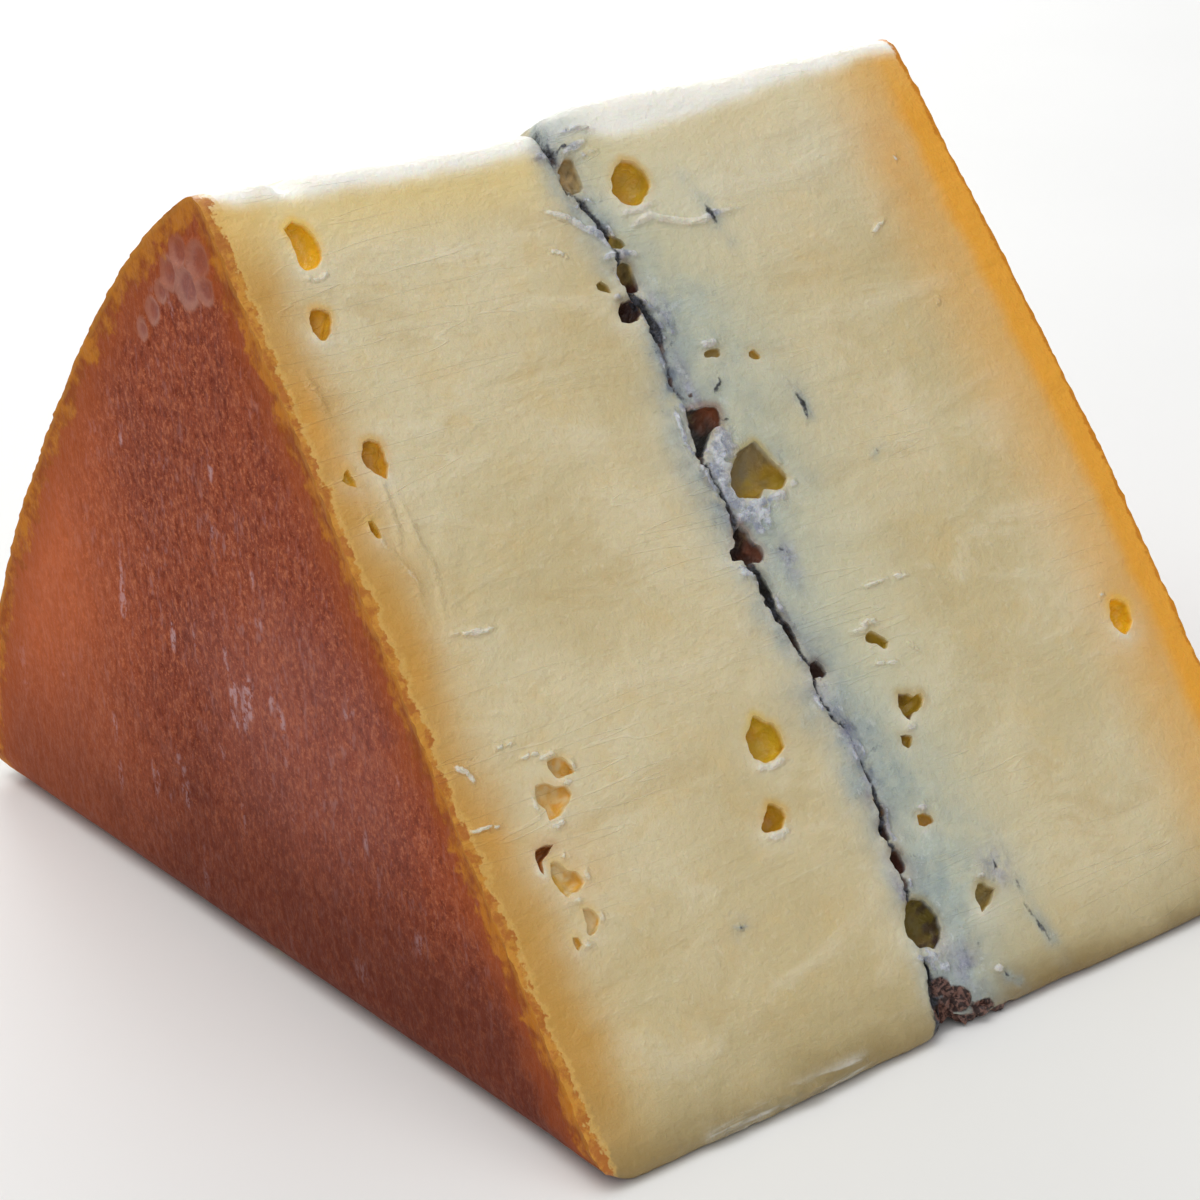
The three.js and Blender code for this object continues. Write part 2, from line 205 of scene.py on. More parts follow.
# ---- what lies on the front cut: X measured from the left face's foot, s down the cut ----
# name, outline, depth, colour of the wall (it shows on the hollow's left side; where it is the darker colour it is
# painted shade), colour of the floor, roughness of the floor shape, undercut
AMBER, ORANGE, OLIVE, TAN = (0.74, 0.44, 0.022), (0.88, 0.52, 0.015), (0.34, 0.25, 0.05), (0.62, 0.42, 0.14)
OCHRE, BROWN, REDBR, DARK = (0.72, 0.47, 0.045), (0.16, 0.055, 0.016), (0.075, 0.018, 0.008), (0.020, 0.018, 0.018)
GREYD = (0.05, 0.05, 0.055)
PITS = [
    ('L1', [(7.43, 4.72), (8.45, 4.15), (9.36, 4.62), (9.84, 5.63), (10.01, 6.93), (9.64, 7.93), (8.92, 8.47), (7.88, 8.68), (7.38, 8.11), (7.55, 6.72), (7.57, 5.65)], 1.6, ORANGE, ORANGE, 0.1, 0.05),
    ('L2', [(6.66, 11.95), (7.49, 11.97), (8.32, 12.44), (8.01, 13.52), (7.47, 14.27), (6.84, 14.83), (6.24, 14.50), (6.02, 13.74), (6.25, 12.64)], 1.3, (0.50, 0.26, 0.015), AMBER, 0.1, 0.04),
    ('L3', [(6.17, 23.55), (6.98, 23.24), (7.67, 23.77), (7.67, 25.00), (7.41, 26.16), (6.96, 26.91), (6.27, 26.37), (5.55, 25.48), (5.61, 24.36)], 1.5, (0.34, 0.15, 0.015), (0.74, 0.44, 0.022), 0.1, 0.05),
    ('L4', [(2.98, 26.00), (3.98, 25.23), (4.08, 26.04), (4.21, 26.94), (3.54, 26.58)], 0.6, OCHRE, OCHRE, 0.15, 0.0),
    ('L5', [(3.78, 29.68), (4.26, 29.64), (4.36, 30.63), (4.24, 31.28), (3.83, 31.17), (3.62, 30.42)], 0.8, OCHRE, OCHRE, 0.1, 0.0),
    ('P1', [(10.07, 52.23), (10.89, 52.15), (11.64, 52.39), (11.84, 52.97), (12.10, 53.83), (11.23, 53.81), (10.38, 53.96), (10.01, 53.32), (9.85, 52.67)], 0.8, TAN, OCHRE, 0.35, 0.0),
    ('P2', [(8.20, 53.67), (9.00, 53.62), (9.80, 54.27), (10.87, 54.54), (10.96, 55.34), (10.06, 56.16), (9.07, 56.60), (8.06, 56.69), (8.16, 55.70), (7.83, 55.00), (7.82, 54.23)], 0.75, TAN, TAN, 0.5, 0.0),
    ('P3', [(5.90, 58.33), (6.82, 58.22), (7.70, 58.45), (6.79, 59.05), (6.13, 59.42), (5.85, 60.17), (5.72, 60.60), (5.49, 60.13), (5.55, 59.22)], 1.1, (0.50, 0.17, 0.02), (0.34, 0.11, 0.015), 0.1, 0.0),
    ('P4', [(6.70, 59.75), (7.35, 59.70), (7.82, 60.67), (8.57, 61.09), (8.87, 62.04), (8.25, 62.50), (7.33, 62.61), (6.78, 62.75), (6.53, 62.08), (6.23, 61.35), (6.20, 60.67)], 0.75, TAN, OCHRE, 0.45, 0.0),
    ('P5', [(7.69, 63.82), (8.36, 64.22), (8.73, 65.03), (8.14, 65.83), (7.31, 66.12), (7.20, 65.58), (7.51, 64.77)], 0.75, TAN, OCHRE, 0.3, 0.0),
    ('P6', [(5.88, 65.70), (6.37, 65.88), (6.45, 66.49), (5.91, 66.80), (5.68, 66.30)], 0.5, TAN, OCHRE, 0.2, 0.0),
    ('L6', [(29.83, 54.39), (30.45, 55.03), (31.38, 55.69), (31.48, 56.88), (31.40, 57.84), (30.53, 58.28), (29.74, 58.56), (28.94, 58.48), (28.11, 57.85), (27.97, 56.92), (28.18, 55.92), (29.02, 55.12)], 1.9, (0.52, 0.31, 0.010), (0.66, 0.44, 0.012), 0.08, 0.06),
    ('L7', [(27.60, 61.58), (28.18, 61.69), (28.70, 62.30), (28.79, 63.12), (27.99, 63.83), (27.11, 63.89), (26.14, 63.74), (25.85, 63.29), (26.60, 62.49)], 1.7, (0.62, 0.38, 0.012), (0.58, 0.34, 0.012), 0.08, 0.05),
    ('O288', [(33.12, 15.94), (33.76, 15.72), (34.11, 16.27), (34.24, 17.00), (33.63, 16.81), (33.10, 16.40)], 0.8, OLIVE, OLIVE, 0.1, 0.0),
    ('R1', [(39.58, 6.70), (40.80, 6.00), (41.88, 6.43), (42.60, 7.36), (42.75, 8.55), (42.11, 9.37), (40.99, 10.08), (39.89, 10.12), (39.00, 9.54), (38.63, 8.59), (38.96, 7.52)], 1.9, (0.54, 0.31, 0.008), (0.60, 0.37, 0.008), 0.08, 0.05),
    ('TAN', [(34.95, 4.10), (35.85, 3.95), (36.30, 4.47), (36.29, 5.41), (36.25, 6.54), (36.20, 7.30), (35.51, 7.50), (34.98, 7.05), (34.78, 6.02), (34.72, 4.97)], 0.9, (0.30, 0.22, 0.11), (0.34, 0.25, 0.11), 0.7, 0.0),
    ('OLV', [(36.23, 11.86), (36.91, 12.20), (37.59, 12.74), (37.67, 13.35), (36.97, 13.45), (36.37, 12.84)], 0.9, OCHRE, OLIVE, 0.2, 0.0),
    ('H1', [(35.91, 14.81), (36.73, 14.44), (37.32, 14.95), (37.23, 15.97), (37.14, 16.95), (36.95, 17.45), (36.42, 17.42), (35.87, 16.97), (35.42, 16.39), (35.43, 15.55)], 2.0, (0.34, 0.24, 0.07), REDBR, 0.5, 0.1),
    ('H1B', [(34.61, 17.98), (35.68, 17.95), (36.50, 18.27), (36.45, 19.10), (35.69, 19.84), (34.58, 19.94), (33.87, 19.68), (34.05, 18.69)], 2.4, REDBR, (0.06, 0.018, 0.010), 0.4, 0.08),
    ('C2', [(36.54, 28.57), (37.47, 28.44), (38.54, 28.44), (39.41, 28.85), (39.50, 29.82), (38.97, 30.51), (37.86, 30.78), (37.29, 31.47), (36.48, 32.18), (35.82, 32.74), (35.46, 32.09), (35.68, 30.85), (36.08, 29.66)], 2.2, DARK, (0.27, 0.070, 0.018), 0.8, 0.08),
    ('BIG', [(39.29, 33.21), (40.45, 32.87), (41.53, 32.69), (41.95, 33.55), (42.29, 34.58), (42.86, 35.58), (43.09, 36.58), (42.41, 37.24), (41.28, 37.30), (40.36, 36.96), (39.41, 37.53), (38.27, 37.21), (37.32, 36.95), (37.23, 36.10), (37.68, 34.83), (38.58, 33.95)], 2.4, (0.24, 0.13, 0.035), (0.50, 0.38, 0.035), 0.12, 0.05),
    ('C3', [(36.55, 39.05), (36.91, 39.79), (36.86, 40.70), (37.59, 41.37), (37.54, 42.28), (36.73, 42.78), (35.93, 42.46), (35.04, 42.11), (34.11, 41.84), (34.34, 41.00), (35.23, 40.52), (35.25, 39.88), (35.92, 39.42)], 2.2, DARK, (0.26, 0.085, 0.040), 0.9, 0.04),
    ('S1', [(36.10, 43.15), (36.51, 44.00), (36.57, 45.12), (36.45, 46.37), (36.20, 46.98), (35.90, 46.39), (35.71, 45.51), (35.80, 44.53)], 1.4, GREYD, DARK, 0.6, 0.0),
    ('S2', [(36.36, 47.35), (36.80, 47.93), (36.98, 48.81), (36.99, 49.82), (36.96, 51.05), (36.56, 50.42), (36.24, 49.59), (36.18, 48.48)], 1.2, (0.17, 0.085, 0.035), (0.05, 0.03, 0.024), 0.5, 0.0),
    ('H670', [(36.75, 52.48), (37.69, 51.98), (38.22, 52.38), (38.45, 53.40), (37.77, 53.61), (36.79, 53.22)], 1.5, (0.10, 0.035, 0.015), (0.05, 0.018, 0.010), 0.2, 0.0),
    ('SA', [(37.16, 64.37), (37.76, 64.47), (37.85, 65.50), (37.70, 66.05), (37.26, 65.57)], 0.8, (0.26, 0.15, 0.05), (0.20, 0.11, 0.035), 0.2, 0.0),
    ('SB', [(36.75, 66.36), (37.35, 66.40), (37.39, 67.14), (37.35, 67.98), (36.84, 68.02), (36.41, 67.65), (36.38, 66.98)], 1.4, REDBR, (0.05, 0.015, 0.010), 0.2, 0.0),
    ('SC', [(37.01, 68.68), (37.60, 68.78), (37.64, 69.46), (37.62, 70.40), (37.26, 70.84), (36.62, 70.81), (36.26, 70.16), (36.40, 69.31)], 1.5, (0.15, 0.07, 0.022), REDBR, 0.2, 0.0),
    ('BOT', [(36.02, 73.37), (36.86, 73.04), (37.80, 73.54), (38.30, 74.43), (38.48, 75.29), (38.30, 76.39), (37.67, 77.22), (36.87, 77.55), (36.22, 77.30), (35.39, 77.00), (34.90, 76.17), (34.72, 75.31), (35.38, 74.12)], 2.2, (0.14, 0.07, 0.020), (0.27, 0.21, 0.018), 0.3, 0.08),
    ('R352', [(40.56, 24.15), (41.45, 23.90), (42.13, 24.07), (42.01, 24.71), (41.11, 24.77), (40.38, 24.49)], 0.6, (0.44, 0.34, 0.13), (0.34, 0.25, 0.07), 0.2, 0.0),
    ('R355', [(44.77, 25.11), (45.44, 25.09), (45.82, 25.75), (45.54, 26.10), (44.80, 25.88), (44.55, 25.53)], 0.6, (0.52, 0.38, 0.12), (0.50, 0.34, 0.05), 0.2, 0.0),
    ('R637', [(43.68, 51.28), (44.39, 51.21), (45.14, 51.90), (45.74, 52.64), (45.10, 53.18), (44.31, 52.58), (43.38, 51.83)], 1.1, (0.46, 0.34, 0.08), (0.42, 0.27, 0.012), 0.1, 0.0),
    ('R705', [(44.24, 56.98), (45.14, 57.17), (45.64, 57.69), (46.44, 57.48), (46.57, 58.26), (45.93, 58.80), (44.94, 58.95), (44.17, 59.53), (43.81, 58.96), (43.67, 58.00)], 1.4, (0.12, 0.035, 0.010), (0.50, 0.31, 0.010), 0.1, 0.03),
    ('R741', [(42.51, 60.29), (43.12, 60.40), (43.80, 60.79), (43.36, 61.38), (42.80, 61.57), (42.41, 61.08)], 0.9, (0.13, 0.045, 0.012), (0.46, 0.28, 0.02), 0.1, 0.0),
    ('R818', [(40.83, 66.93), (41.57, 66.99), (42.15, 67.37), (42.13, 67.99), (41.39, 68.11), (40.59, 67.75)], 0.7, OCHRE, (0.42, 0.26, 0.03), 0.2, 0.0),
    ('R895', [(43.58, 74.00), (44.23, 74.04), (44.59, 74.62), (45.17, 75.00), (44.45, 75.66), (43.49, 76.14), (42.63, 76.47), (42.73, 75.69), (42.78, 74.81)], 1.5, (0.42, 0.28, 0.012), (0.36, 0.27, 0.10), 0.1, 0.02),
    ('R615', [(69.79, 55.89), (70.73, 55.98), (71.39, 56.56), (71.47, 57.46), (71.19, 58.35), (70.27, 59.05), (69.75, 59.28), (69.27, 58.85), (68.78, 58.21), (69.00, 57.21)], 1.5, (0.80, 0.40, 0.010), ORANGE, 0.08, 0.05),
    ('D1', [(35.34, 78.04), (35.55, 78.54), (35.43, 79.54), (35.21, 80.31), (34.85, 80.22), (35.00, 79.19)], 0.8, GREYD, GREYD, 0.5, 0.0),
]
# the back cut, by height: x, z, half width, half height, depth, colour
BACK_PITS = [
    (-24.5, 52.0, 1.9, 1.6, 2.0, ORANGE), (-16.0, 31.0, 1.3, 1.9, 1.7, AMBER), (-27.0, 17.0, 1.6, 1.3, 1.5, AMBER),
    (16.5, 45.0, 2.2, 1.8, 2.4, (0.36, 0.25, 0.02)), (24.0, 24.0, 1.5, 2.0, 1.9, AMBER), (10.0, 12.5, 1.2, 1.2, 1.3, OCHRE),
    (-0.6, 40.0, 1.5, 2.3, 2.2, (0.08, 0.03, 0.014)), (-3.0, 22.0, 1.2, 1.9, 2.0, (0.05, 0.02, 0.012)),
    (-30.5, 38.0, 0.8, 1.1, 0.9, ORANGE), (29.5, 55.0, 1.0, 0.8, 0.9, ORANGE), (6.2, 55.5, 0.9, 1.3, 1.0, OCHRE),
    (-10.5, 14.0, 1.0, 0.8, 0.8, OCHRE), (3.4, 30.0, 1.0, 0.7, 0.8, OLIVE), (-20.0, 43.5, 0.7, 0.6, 0.6, OCHRE),
]
ASH = np.array([(34.79, -1.0), (34.79, 1.65), (34.98, 3.60), (34.73, 6.21), (35.40, 8.26), (35.93, 10.56), (36.35, 12.27),
                (36.51, 13.63), (36.09, 15.70), (36.14, 17.70), (36.87, 19.19), (36.96, 20.91), (36.77, 22.74), (36.48, 24.54),
                (36.08, 25.93), (36.35, 27.49), (36.50, 28.70), (35.97, 31.12), (35.68, 32.71), (35.93, 34.07), (36.12, 35.97),
                (36.22, 38.03), (35.93, 39.61), (35.38, 41.21), (35.80, 42.70), (36.15, 43.92), (35.99, 45.38), (36.15, 46.92),
                (36.54, 48.44), (36.61, 49.70), (36.82, 51.14), (37.27, 52.15), (36.81, 53.77), (36.70, 55.19), (36.96, 56.72),
                (37.76, 58.06), (37.87, 60.27), (37.96, 62.11), (37.78, 64.03), (37.50, 65.74), (36.85, 67.32), (37.17, 68.53),
                (36.91, 70.38), (36.89, 71.80), (36.41, 73.06), (36.39, 75.27), (35.51, 77.62), (35.36, 79.07), (34.99, 80.52),
                (34.81, 82.39), (34.66, 83.77), (34.9, 86.0)])
# how open the seam is along s: s, half width, depth
GROOVE = np.array([(0, 0.30, 0.5), (3, 0.32, 0.5), (7.6, 0.20, 0.4), (8.3, 0.28, 0.6), (11.5, 0.22, 0.5), (13.6, 0.22, 0.5),
                   (17.7, 0.30, 0.8), (19.5, 0.40, 0.9), (21.5, 0.44, 1.0), (22.5, 0.20, 0.55), (28.0, 0.20, 0.55), (29, 0.3, 0.8),
                   (32.8, 0.25, 0.6), (34, 0.13, 0.4), (38, 0.20, 0.5), (39, 0.4, 0.9), (43, 0.32, 0.9), (47.2, 0.30, 0.8),
                   (51.4, 0.30, 0.7), (52, 0.2, 0.5), (54, 0.18, 0.5), (57, 0.18, 0.5), (58, 0.16, 0.40), (60.5, 0.17, 0.42),
                   (62.5, 0.18, 0.45), (64, 0.2, 0.5), (68.3, 0.25, 0.6), (71.2, 0.2, 0.5), (73, 0.25, 0.5), (77.8, 0.2, 0.4),
                   (80.5, 0.5, 0.9), (84, 1.0, 1.4), (87, 1.2, 1.6)])
VEINS = {  # dark mould threads: half width, weight, points
    'v1': (0.34, 0.80, [(46.27, 8.93), (46.77, 10.31), (47.02, 11.33), (47.22, 12.64), (47.47, 13.85), (48.03, 15.34)]),
    'v2': (0.24, 0.85, [(40.88, 26.03), (40.83, 26.96), (39.82, 27.64), (39.39, 28.47)]),
    'v3': (0.26, 0.75, [(47.11, 27.61), (47.38, 29.40), (47.83, 30.66), (47.60, 32.12), (46.98, 32.93)]),
    'v4': (0.24, 0.52, [(47.41, 70.29), (47.40, 72.30), (47.47, 73.78), (47.27, 75.54), (47.20, 77.24), (47.61, 78.92), (48.10, 80.27), (48.30, 81.52), (48.63, 82.54)]),
    'v5': (0.20, 0.6, [(47.29, 79.08), (47.96, 80.31), (47.99, 81.05), (48.08, 82.08)]),
    'v6': (0.18, 0.55, [(42.10, 80.94), (42.61, 82.02), (43.27, 83.24)]),
    'v7': (0.16, 0.6, [(36.79, 28.08), (36.53, 27.35), (38.00, 27.25), (38.44, 28.22)]),
    'v8': (0.16, 0.6, [(36.64, 43.77), (37.92, 44.41), (39.81, 44.96), (41.41, 45.05)]),
    'v9': (0.20, 0.55, [(38.86, 54.04), (38.57, 55.77), (38.39, 57.71), (38.35, 59.79)]),
    'v10': (0.22, 0.7, [(46.15, 71.88), (46.03, 73.30), (45.23, 74.29), (46.01, 74.92)]),
    'v11': (0.20, 0.5, [(32.9, 1.6), (33.6, 2.4), (34.4, 3.1)]),
    'v12': (0.20, 0.7, [(35.0, 2.9), (36.4, 3.1), (37.2, 4.0)]),
    'v13': (0.18, 0.6, [(37.9, 29.6), (39.6, 30.2), (40.9, 30.6)]),
    'v14': (0.22, 0.7, [(38.6, 41.8), (39.5, 42.2), (40.2, 43.2)]),
    'v15': (0.25, 0.7, [(38.1, 20.0), (38.5, 21.0), (38.2, 21.6)]),
    'v16': (0.14, 0.5, [(39.9, 76.4), (40.6, 77.2)]),
    'v17': (0.16, 0.6, [(40.9, 78.3), (41.3, 78.9)]),
    'v18': (0.18, 0.6, [(52.9, 36.3), (53.4, 37.0)]),
    'v19': (0.14, 0.7, [(20.32, 69.66), (20.17, 70.13)]),
    'v20': (0.16, 0.6, [(42.79, 81.90), (43.20, 82.59), (43.65, 83.37)]),
    'v21': (0.20, 0.45, [(47.90, 27.81), (47.79, 29.69), (47.68, 31.57), (46.98, 33.28)]),
}
FLAKES = {  # pale raised threads and flaps of curd: half width, height, points
    'seamL': (0.44, 0.36, [(31.23, 7.80), (32.66, 8.69), (33.68, 9.58), (34.38, 10.49), (35.39, 11.24), (35.71, 12.07), (35.99, 12.99)]),
    'seamL2': (0.18, 0.16, [(29.82, 11.70), (31.09, 12.28), (31.82, 13.10)]),
    'seamR': (0.44, 0.36, [(38.32, 12.15), (39.95, 11.47), (41.34, 11.31), (42.47, 11.85), (44.78, 12.66), (46.35, 12.83), (47.65, 12.44), (50.38, 12.57)]),
    'seamC': (0.34, 0.30, [(34.92, 13.83), (36.13, 13.68), (37.35, 13.84), (38.52, 14.29)]),
    's1': (0.20, 0.30, [(6.79, 40.22), (8.04, 40.60), (9.29, 40.80), (10.53, 40.82)]),
    's2': (0.35, 0.30, [(2.19, 50.20), (2.94, 50.78), (3.41, 51.95)]),
    's3': (0.16, 0.22, [(0.98, 55.27), (2.48, 55.42), (4.05, 55.69)]),
    's4': (0.16, 0.26, [(45.12, 47.43), (47.33, 47.51), (49.55, 47.60), (51.60, 47.62)]),
    's5': (0.14, 0.16, [(6.22, 49.89), (7.10, 49.83), (7.80, 49.97)]),
    's6': (0.12, 0.12, [(47.19, 52.88), (47.80, 53.82), (48.96, 54.82)]),
    's7': (0.24, 0.34, [(35.2, 28.0), (35.0, 29.6), (34.8, 31.2), (35.2, 33.0)]),
    's8': (0.30, 0.34, [(38.3, 31.0), (37.8, 32.0), (38.2, 33.2)]),
    's9': (0.30, 0.40, [(39.9, 38.0), (41.0, 37.75), (42.2, 37.6)]),
    's10': (0.22, 0.25, [(34.2, 42.3), (35.2, 42.9), (35.7, 43.8), (35.5, 45.0)]),
    's11': (0.34, 0.14, [(27.9, 58.6), (29.4, 58.95), (30.9, 58.6)]),
    's12': (0.30, 0.14, [(26.2, 64.15), (27.4, 64.25), (28.5, 64.0)]),
    's13': (0.22, 0.28, [(34.7, 77.6), (35.4, 78.0), (36.2, 78.2)]),
    's14': (0.20, 0.22, [(43.1, 53.9), (44.6, 54.2), (45.6, 54.5)]),
    's15': (0.20, 0.22, [(43.4, 50.6), (44.4, 50.3), (45.3, 50.7)]),
    's16': (0.32, 0.16, [(38.7, 10.4), (40.2, 10.6), (42.2, 10.2)]),
    's17': (0.25, 0.35, [(36.3, 1.9), (38.0, 2.2), (39.2, 2.6)]),
    's18': (0.18, 0.22, [(7.4, 9.3), (8.6, 9.6), (9.6, 9.2)]),
    's19': (0.14, 0.18, [(68.7, 55.3), (69.4, 55.2)]),
    'f1': (0.40, 0.10, [(4.04, 28.11), (3.89, 30.23), (4.25, 32.06), (5.03, 33.41), (5.59, 35.21), (5.34, 37.72)]),
    'f2': (0.34, 0.10, [(7.25, 27.69), (7.25, 30.31), (7.27, 32.66), (7.73, 34.10), (7.30, 36.57), (6.65, 39.14)]),
    'f3': (0.26, 0.08, [(6.48, 25.91), (6.23, 28.45), (6.05, 30.84), (5.37, 33.07)]),
    'f4': (0.42, 0.16, [(3.88, 16.99), (3.96, 18.24), (4.12, 19.51), (4.31, 20.69)]),
    's21': (0.22, 0.20, [(64.64, 16.97), (63.51, 17.51), (62.65, 18.01)]),
    's22': (0.14, 0.16, [(69.0, 11.2), (68.9, 11.9)]),
    's23': (0.16, 0.14, [(66.6, 25.2), (66.2, 25.9)]),
    's20': (0.16, 0.2, [(8.0, 51.4), (8.9, 51.2), (9.8, 51.5)]),
}
# bloom of mould along the seam: s, reach to the left, blue reach to the right, pale reach to the right, strength
BLOOM = np.array([(0, 1.5, 1.3, 3.8, 0.85), (7, 2.0, 1.0, 3.8, 0.65), (13, 2.4, 1.0, 3.0, 0.65), (19, 1.7, 1.7, 7.0, 1.05),
                  (26, 2.6, 1.3, 9.0, 1.05), (32, 3.2, 1.7, 9.5, 1.0), (37, 3.0, 1.6, 8.5, 1.0), (41, 2.5, 1.8, 6.5, 1.05),
                  (46, 2.5, 1.3, 4.4, 0.9), (51, 2.5, 1.5, 4.0, 0.95), (55, 3.0, 1.6, 5.5, 0.9), (60, 3.0, 1.5, 6.0, 0.8),
                  (66, 2.6, 1.2, 7.5, 0.8), (72, 2.0, 1.3, 8.5, 0.9), (77, 1.5, 2.0, 8.0, 1.0), (82, 1.3, 2.4, 7.0, 0.95),
                  (86, 1.0, 2.0, 6.0, 0.75)])
LILAC = [(38.69, 19.82, 0.78, 1.37), (37.97, 18.51, 0.47, 0.98), (37.65, 26.43, 0.62, 2.93), (35.68, 38.44, 0.78, 0.78),
         (39.64, 43.25, 0.94, 1.95), (37.4, 54.5, 1.09, 2.54), (37.63, 59.11, 0.94, 2.34), (37.39, 63.54, 0.78, 2.34),
         (36.0, 72.03, 0.47, 2.93), (37.61, 77.03, 0.94, 1.56), (38.88, 79.7, 1.56, 1.95), (36.97, 41.1, 0.47, 0.59),
         (36.39, 34.01, 0.62, 1.17), (46.1, 73.2, 1.2, 1.8), (33.9, 2.6, 0.9, 0.8)]
# heaped, whitish curd pushed out of the seam: x, s, half width, half length
CURD = [(38.5, 32.4, 1.6, 2.0), (37.4, 34.5, 1.0, 1.7), (37.0, 36.6, 0.9, 1.5), (39.0, 38.3, 2.3, 0.85), (38.2, 39.6, 1.3, 0.8),
        (37.0, 38.7, 0.7, 0.6), (41.3, 37.95, 0.8, 0.35), (38.9, 34.2, 0.45, 0.7), (37.33, 20.81, 0.5, 0.5),
        (37.1, 21.88, 0.4, 0.4), (33.8, 2.59, 0.7, 0.4), (37.0, 3.5, 1.2, 0.35), (38.0, 4.5, 0.8, 0.3),
        (34.6, 17.4, 0.5, 0.25), (36.9, 14.0, 0.45, 0.3), (41.18, 23.45, 0.9, 0.35), (35.1, 43.1, 0.7, 0.35),
        (36.54, 51.35, 0.5, 0.35), (43.4, 50.8, 0.9, 0.25), (44.0, 60.0, 0.4, 0.2), (41.4, 66.5, 0.7, 0.25),
        (36.27, 78.1, 0.9, 0.4), (37.0, 79.2, 0.5, 0.6), (44.3, 73.6, 0.6, 0.2), (10.0, 51.8, 0.6, 0.2),
        (9.0, 57.1, 0.4, 0.25), (36.0, 28.2, 0.4, 0.5), (35.3, 33.4, 0.35, 0.7), (38.4, 21.6, 0.3, 0.4),
        (0.78, 15.7, 0.4, 0.35), (42.02, 81.09, 0.45, 0.30), (20.2, 69.9, 0.22, 0.22), (10.6, 51.8, 0.6, 0.25), (12.1, 53.1, 0.25, 0.5), (7.5, 55.2, 0.25, 0.7),
        (8.4, 57.2, 0.5, 0.25), (8.2, 59.6, 0.5, 0.3), (9.2, 61.6, 0.25, 0.5), (7.2, 63.2, 0.6, 0.3), (8.9, 64.9, 0.25, 0.5),
        (6.9, 66.6, 0.4, 0.25), (11.0, 54.3, 0.4, 0.2), (42.9, 35.0, 0.25, 0.5), (43.3, 37.2, 0.35, 0.3)]
# deeper yellow, half translucent patches: x, s, half width, half length, weight
AMBER_AT = [(2.4, 2.8, 2.2, 2.6, 1.0), (5.2, 3.6, 1.6, 2.0, 0.45), (2.6, 20.5, 1.6, 4.5, 0.55), (3.4, 27.0, 2.0, 4.0, 0.45),
            (2.4, 40.0, 1.8, 6.0, 0.35), (2.6, 55.5, 2.2, 4.0, 0.40), (71.5, 3.0, 3.2, 5.0, 0.55), (72.0, 58.0, 2.0, 5.0, 0.45),
            (68.8, 13.0, 2.5, 5.0, 0.35), (8.0, 60.0, 3.5, 3.5, 0.30)]
CRUMBS = [(36.0, 80.6, 0.9, 0.9), (36.9, 82.1, 1.3, 1.2), (34.6, 82.3, 0.5, 0.8), (38.9, 83.5, 1.2, 0.8), (41.0, 84.6, 1.3, 0.55),
          (44.1, 85.3, 1.4, 0.4), (37.5, 84.5, 1.5, 0.8)]


def seg_dist(px, ps, line):
    """Distance from points to a polyline, and the fraction along it."""
    line = np.asarray(line, float)
    best = np.full(len(px), 1e9)
    frac = np.zeros(len(px))
    n = len(line) - 1
    for k in range(n):
        a, b = line[k], line[k + 1]
        d = b - a
        L = float(d @ d) + 1e-12
        t = np.clip(((px - a[0]) * d[0] + (ps - a[1]) * d[1]) / L, 0, 1)
        dist = np.hypot(px - (a[0] + t * d[0]), ps - (a[1] + t * d[1]))
        m = dist < best
        best = np.where(m, dist, best)
        frac = np.where(m, (k + t) / n, frac)
    return best, frac


def ash_x(s):
    return np.interp(s, ASH[:, 1], ASH[:, 0]) - HALF  # centred X


def ash_x_back(z):
    z = np.asarray(z, float)
    return -1.7 + 0.8 * np.sin(z / 8.0) + 0.35 * np.sin(z / 2.7 + 1.0) + 0.15 * np.sin(z / 1.1)


def smooth_loop(pts, spacing, seed):
    """Closed Catmull-Rom through the outline, resampled evenly with a little raggedness."""
    p = np.asarray(pts, float)
    n = len(p)
    out = []
    for k in range(n):
        p0, p1, p2, p3 = p[(k - 1) % n], p[k], p[(k + 1) % n], p[(k + 2) % n]
        for t in np.linspace(0, 1, 9)[:-1]:
            cr_ = 0.5 * ((2 * p1) + (-p0 + p2) * t + (2 * p0 - 5 * p1 + 4 * p2 - p3) * t * t
                         + (-p0 + 3 * p1 - 3 * p2 + p3) * t ** 3)
            out.append(0.35 * cr_ + 0.65 * (p1 + (p2 - p1) * t))
    out = np.array(out)
    closed = np.r_[out, out[:1]]
    d = np.r_[0, np.cumsum(np.linalg.norm(np.diff(closed, axis=0), axis=1))]
    m = max(10, int(round(d[-1] / spacing)))
    tt = np.linspace(0, d[-1], m + 1)[:-1]
    q = np.c_[np.interp(tt, d, closed[:, 0]), np.interp(tt, d, closed[:, 1])]
    area = 0.5 * np.sum(q[:, 0] * np.roll(q[:, 1], -1) - np.roll(q[:, 0], -1) * q[:, 1])
    if area < 0:
        q = q[::-1]
    nv = np.roll(q, -1, axis=0) - np.roll(q, 1, axis=0)
    nv /= np.linalg.norm(nv, axis=1)[:, None]
    nv = np.c_[nv[:, 1], -nv[:, 0]]
    w = noise3(np.c_[q * 1.0, np.full(len(q), 3.3)], 1.9, seed) * 0.10 + noise3(np.c_[q * 1.0, np.full(len(q), 7.3)], 3.6, seed) * 0.04
    return q + nv * w[:, None]


def inside(px, py, poly):
    r = np.zeros(len(px), bool)
    n = len(poly)
    for k in range(n):
        x0, y0 = poly[k]
        x1, y1 = poly[(k + 1) % n]
        if y0 == y1:
            continue
        c = ((y0 > py) != (y1 > py)) & (px < (x1 - x0) * (py - y0) / (y1 - y0) + x0)
        r ^= c
    return r


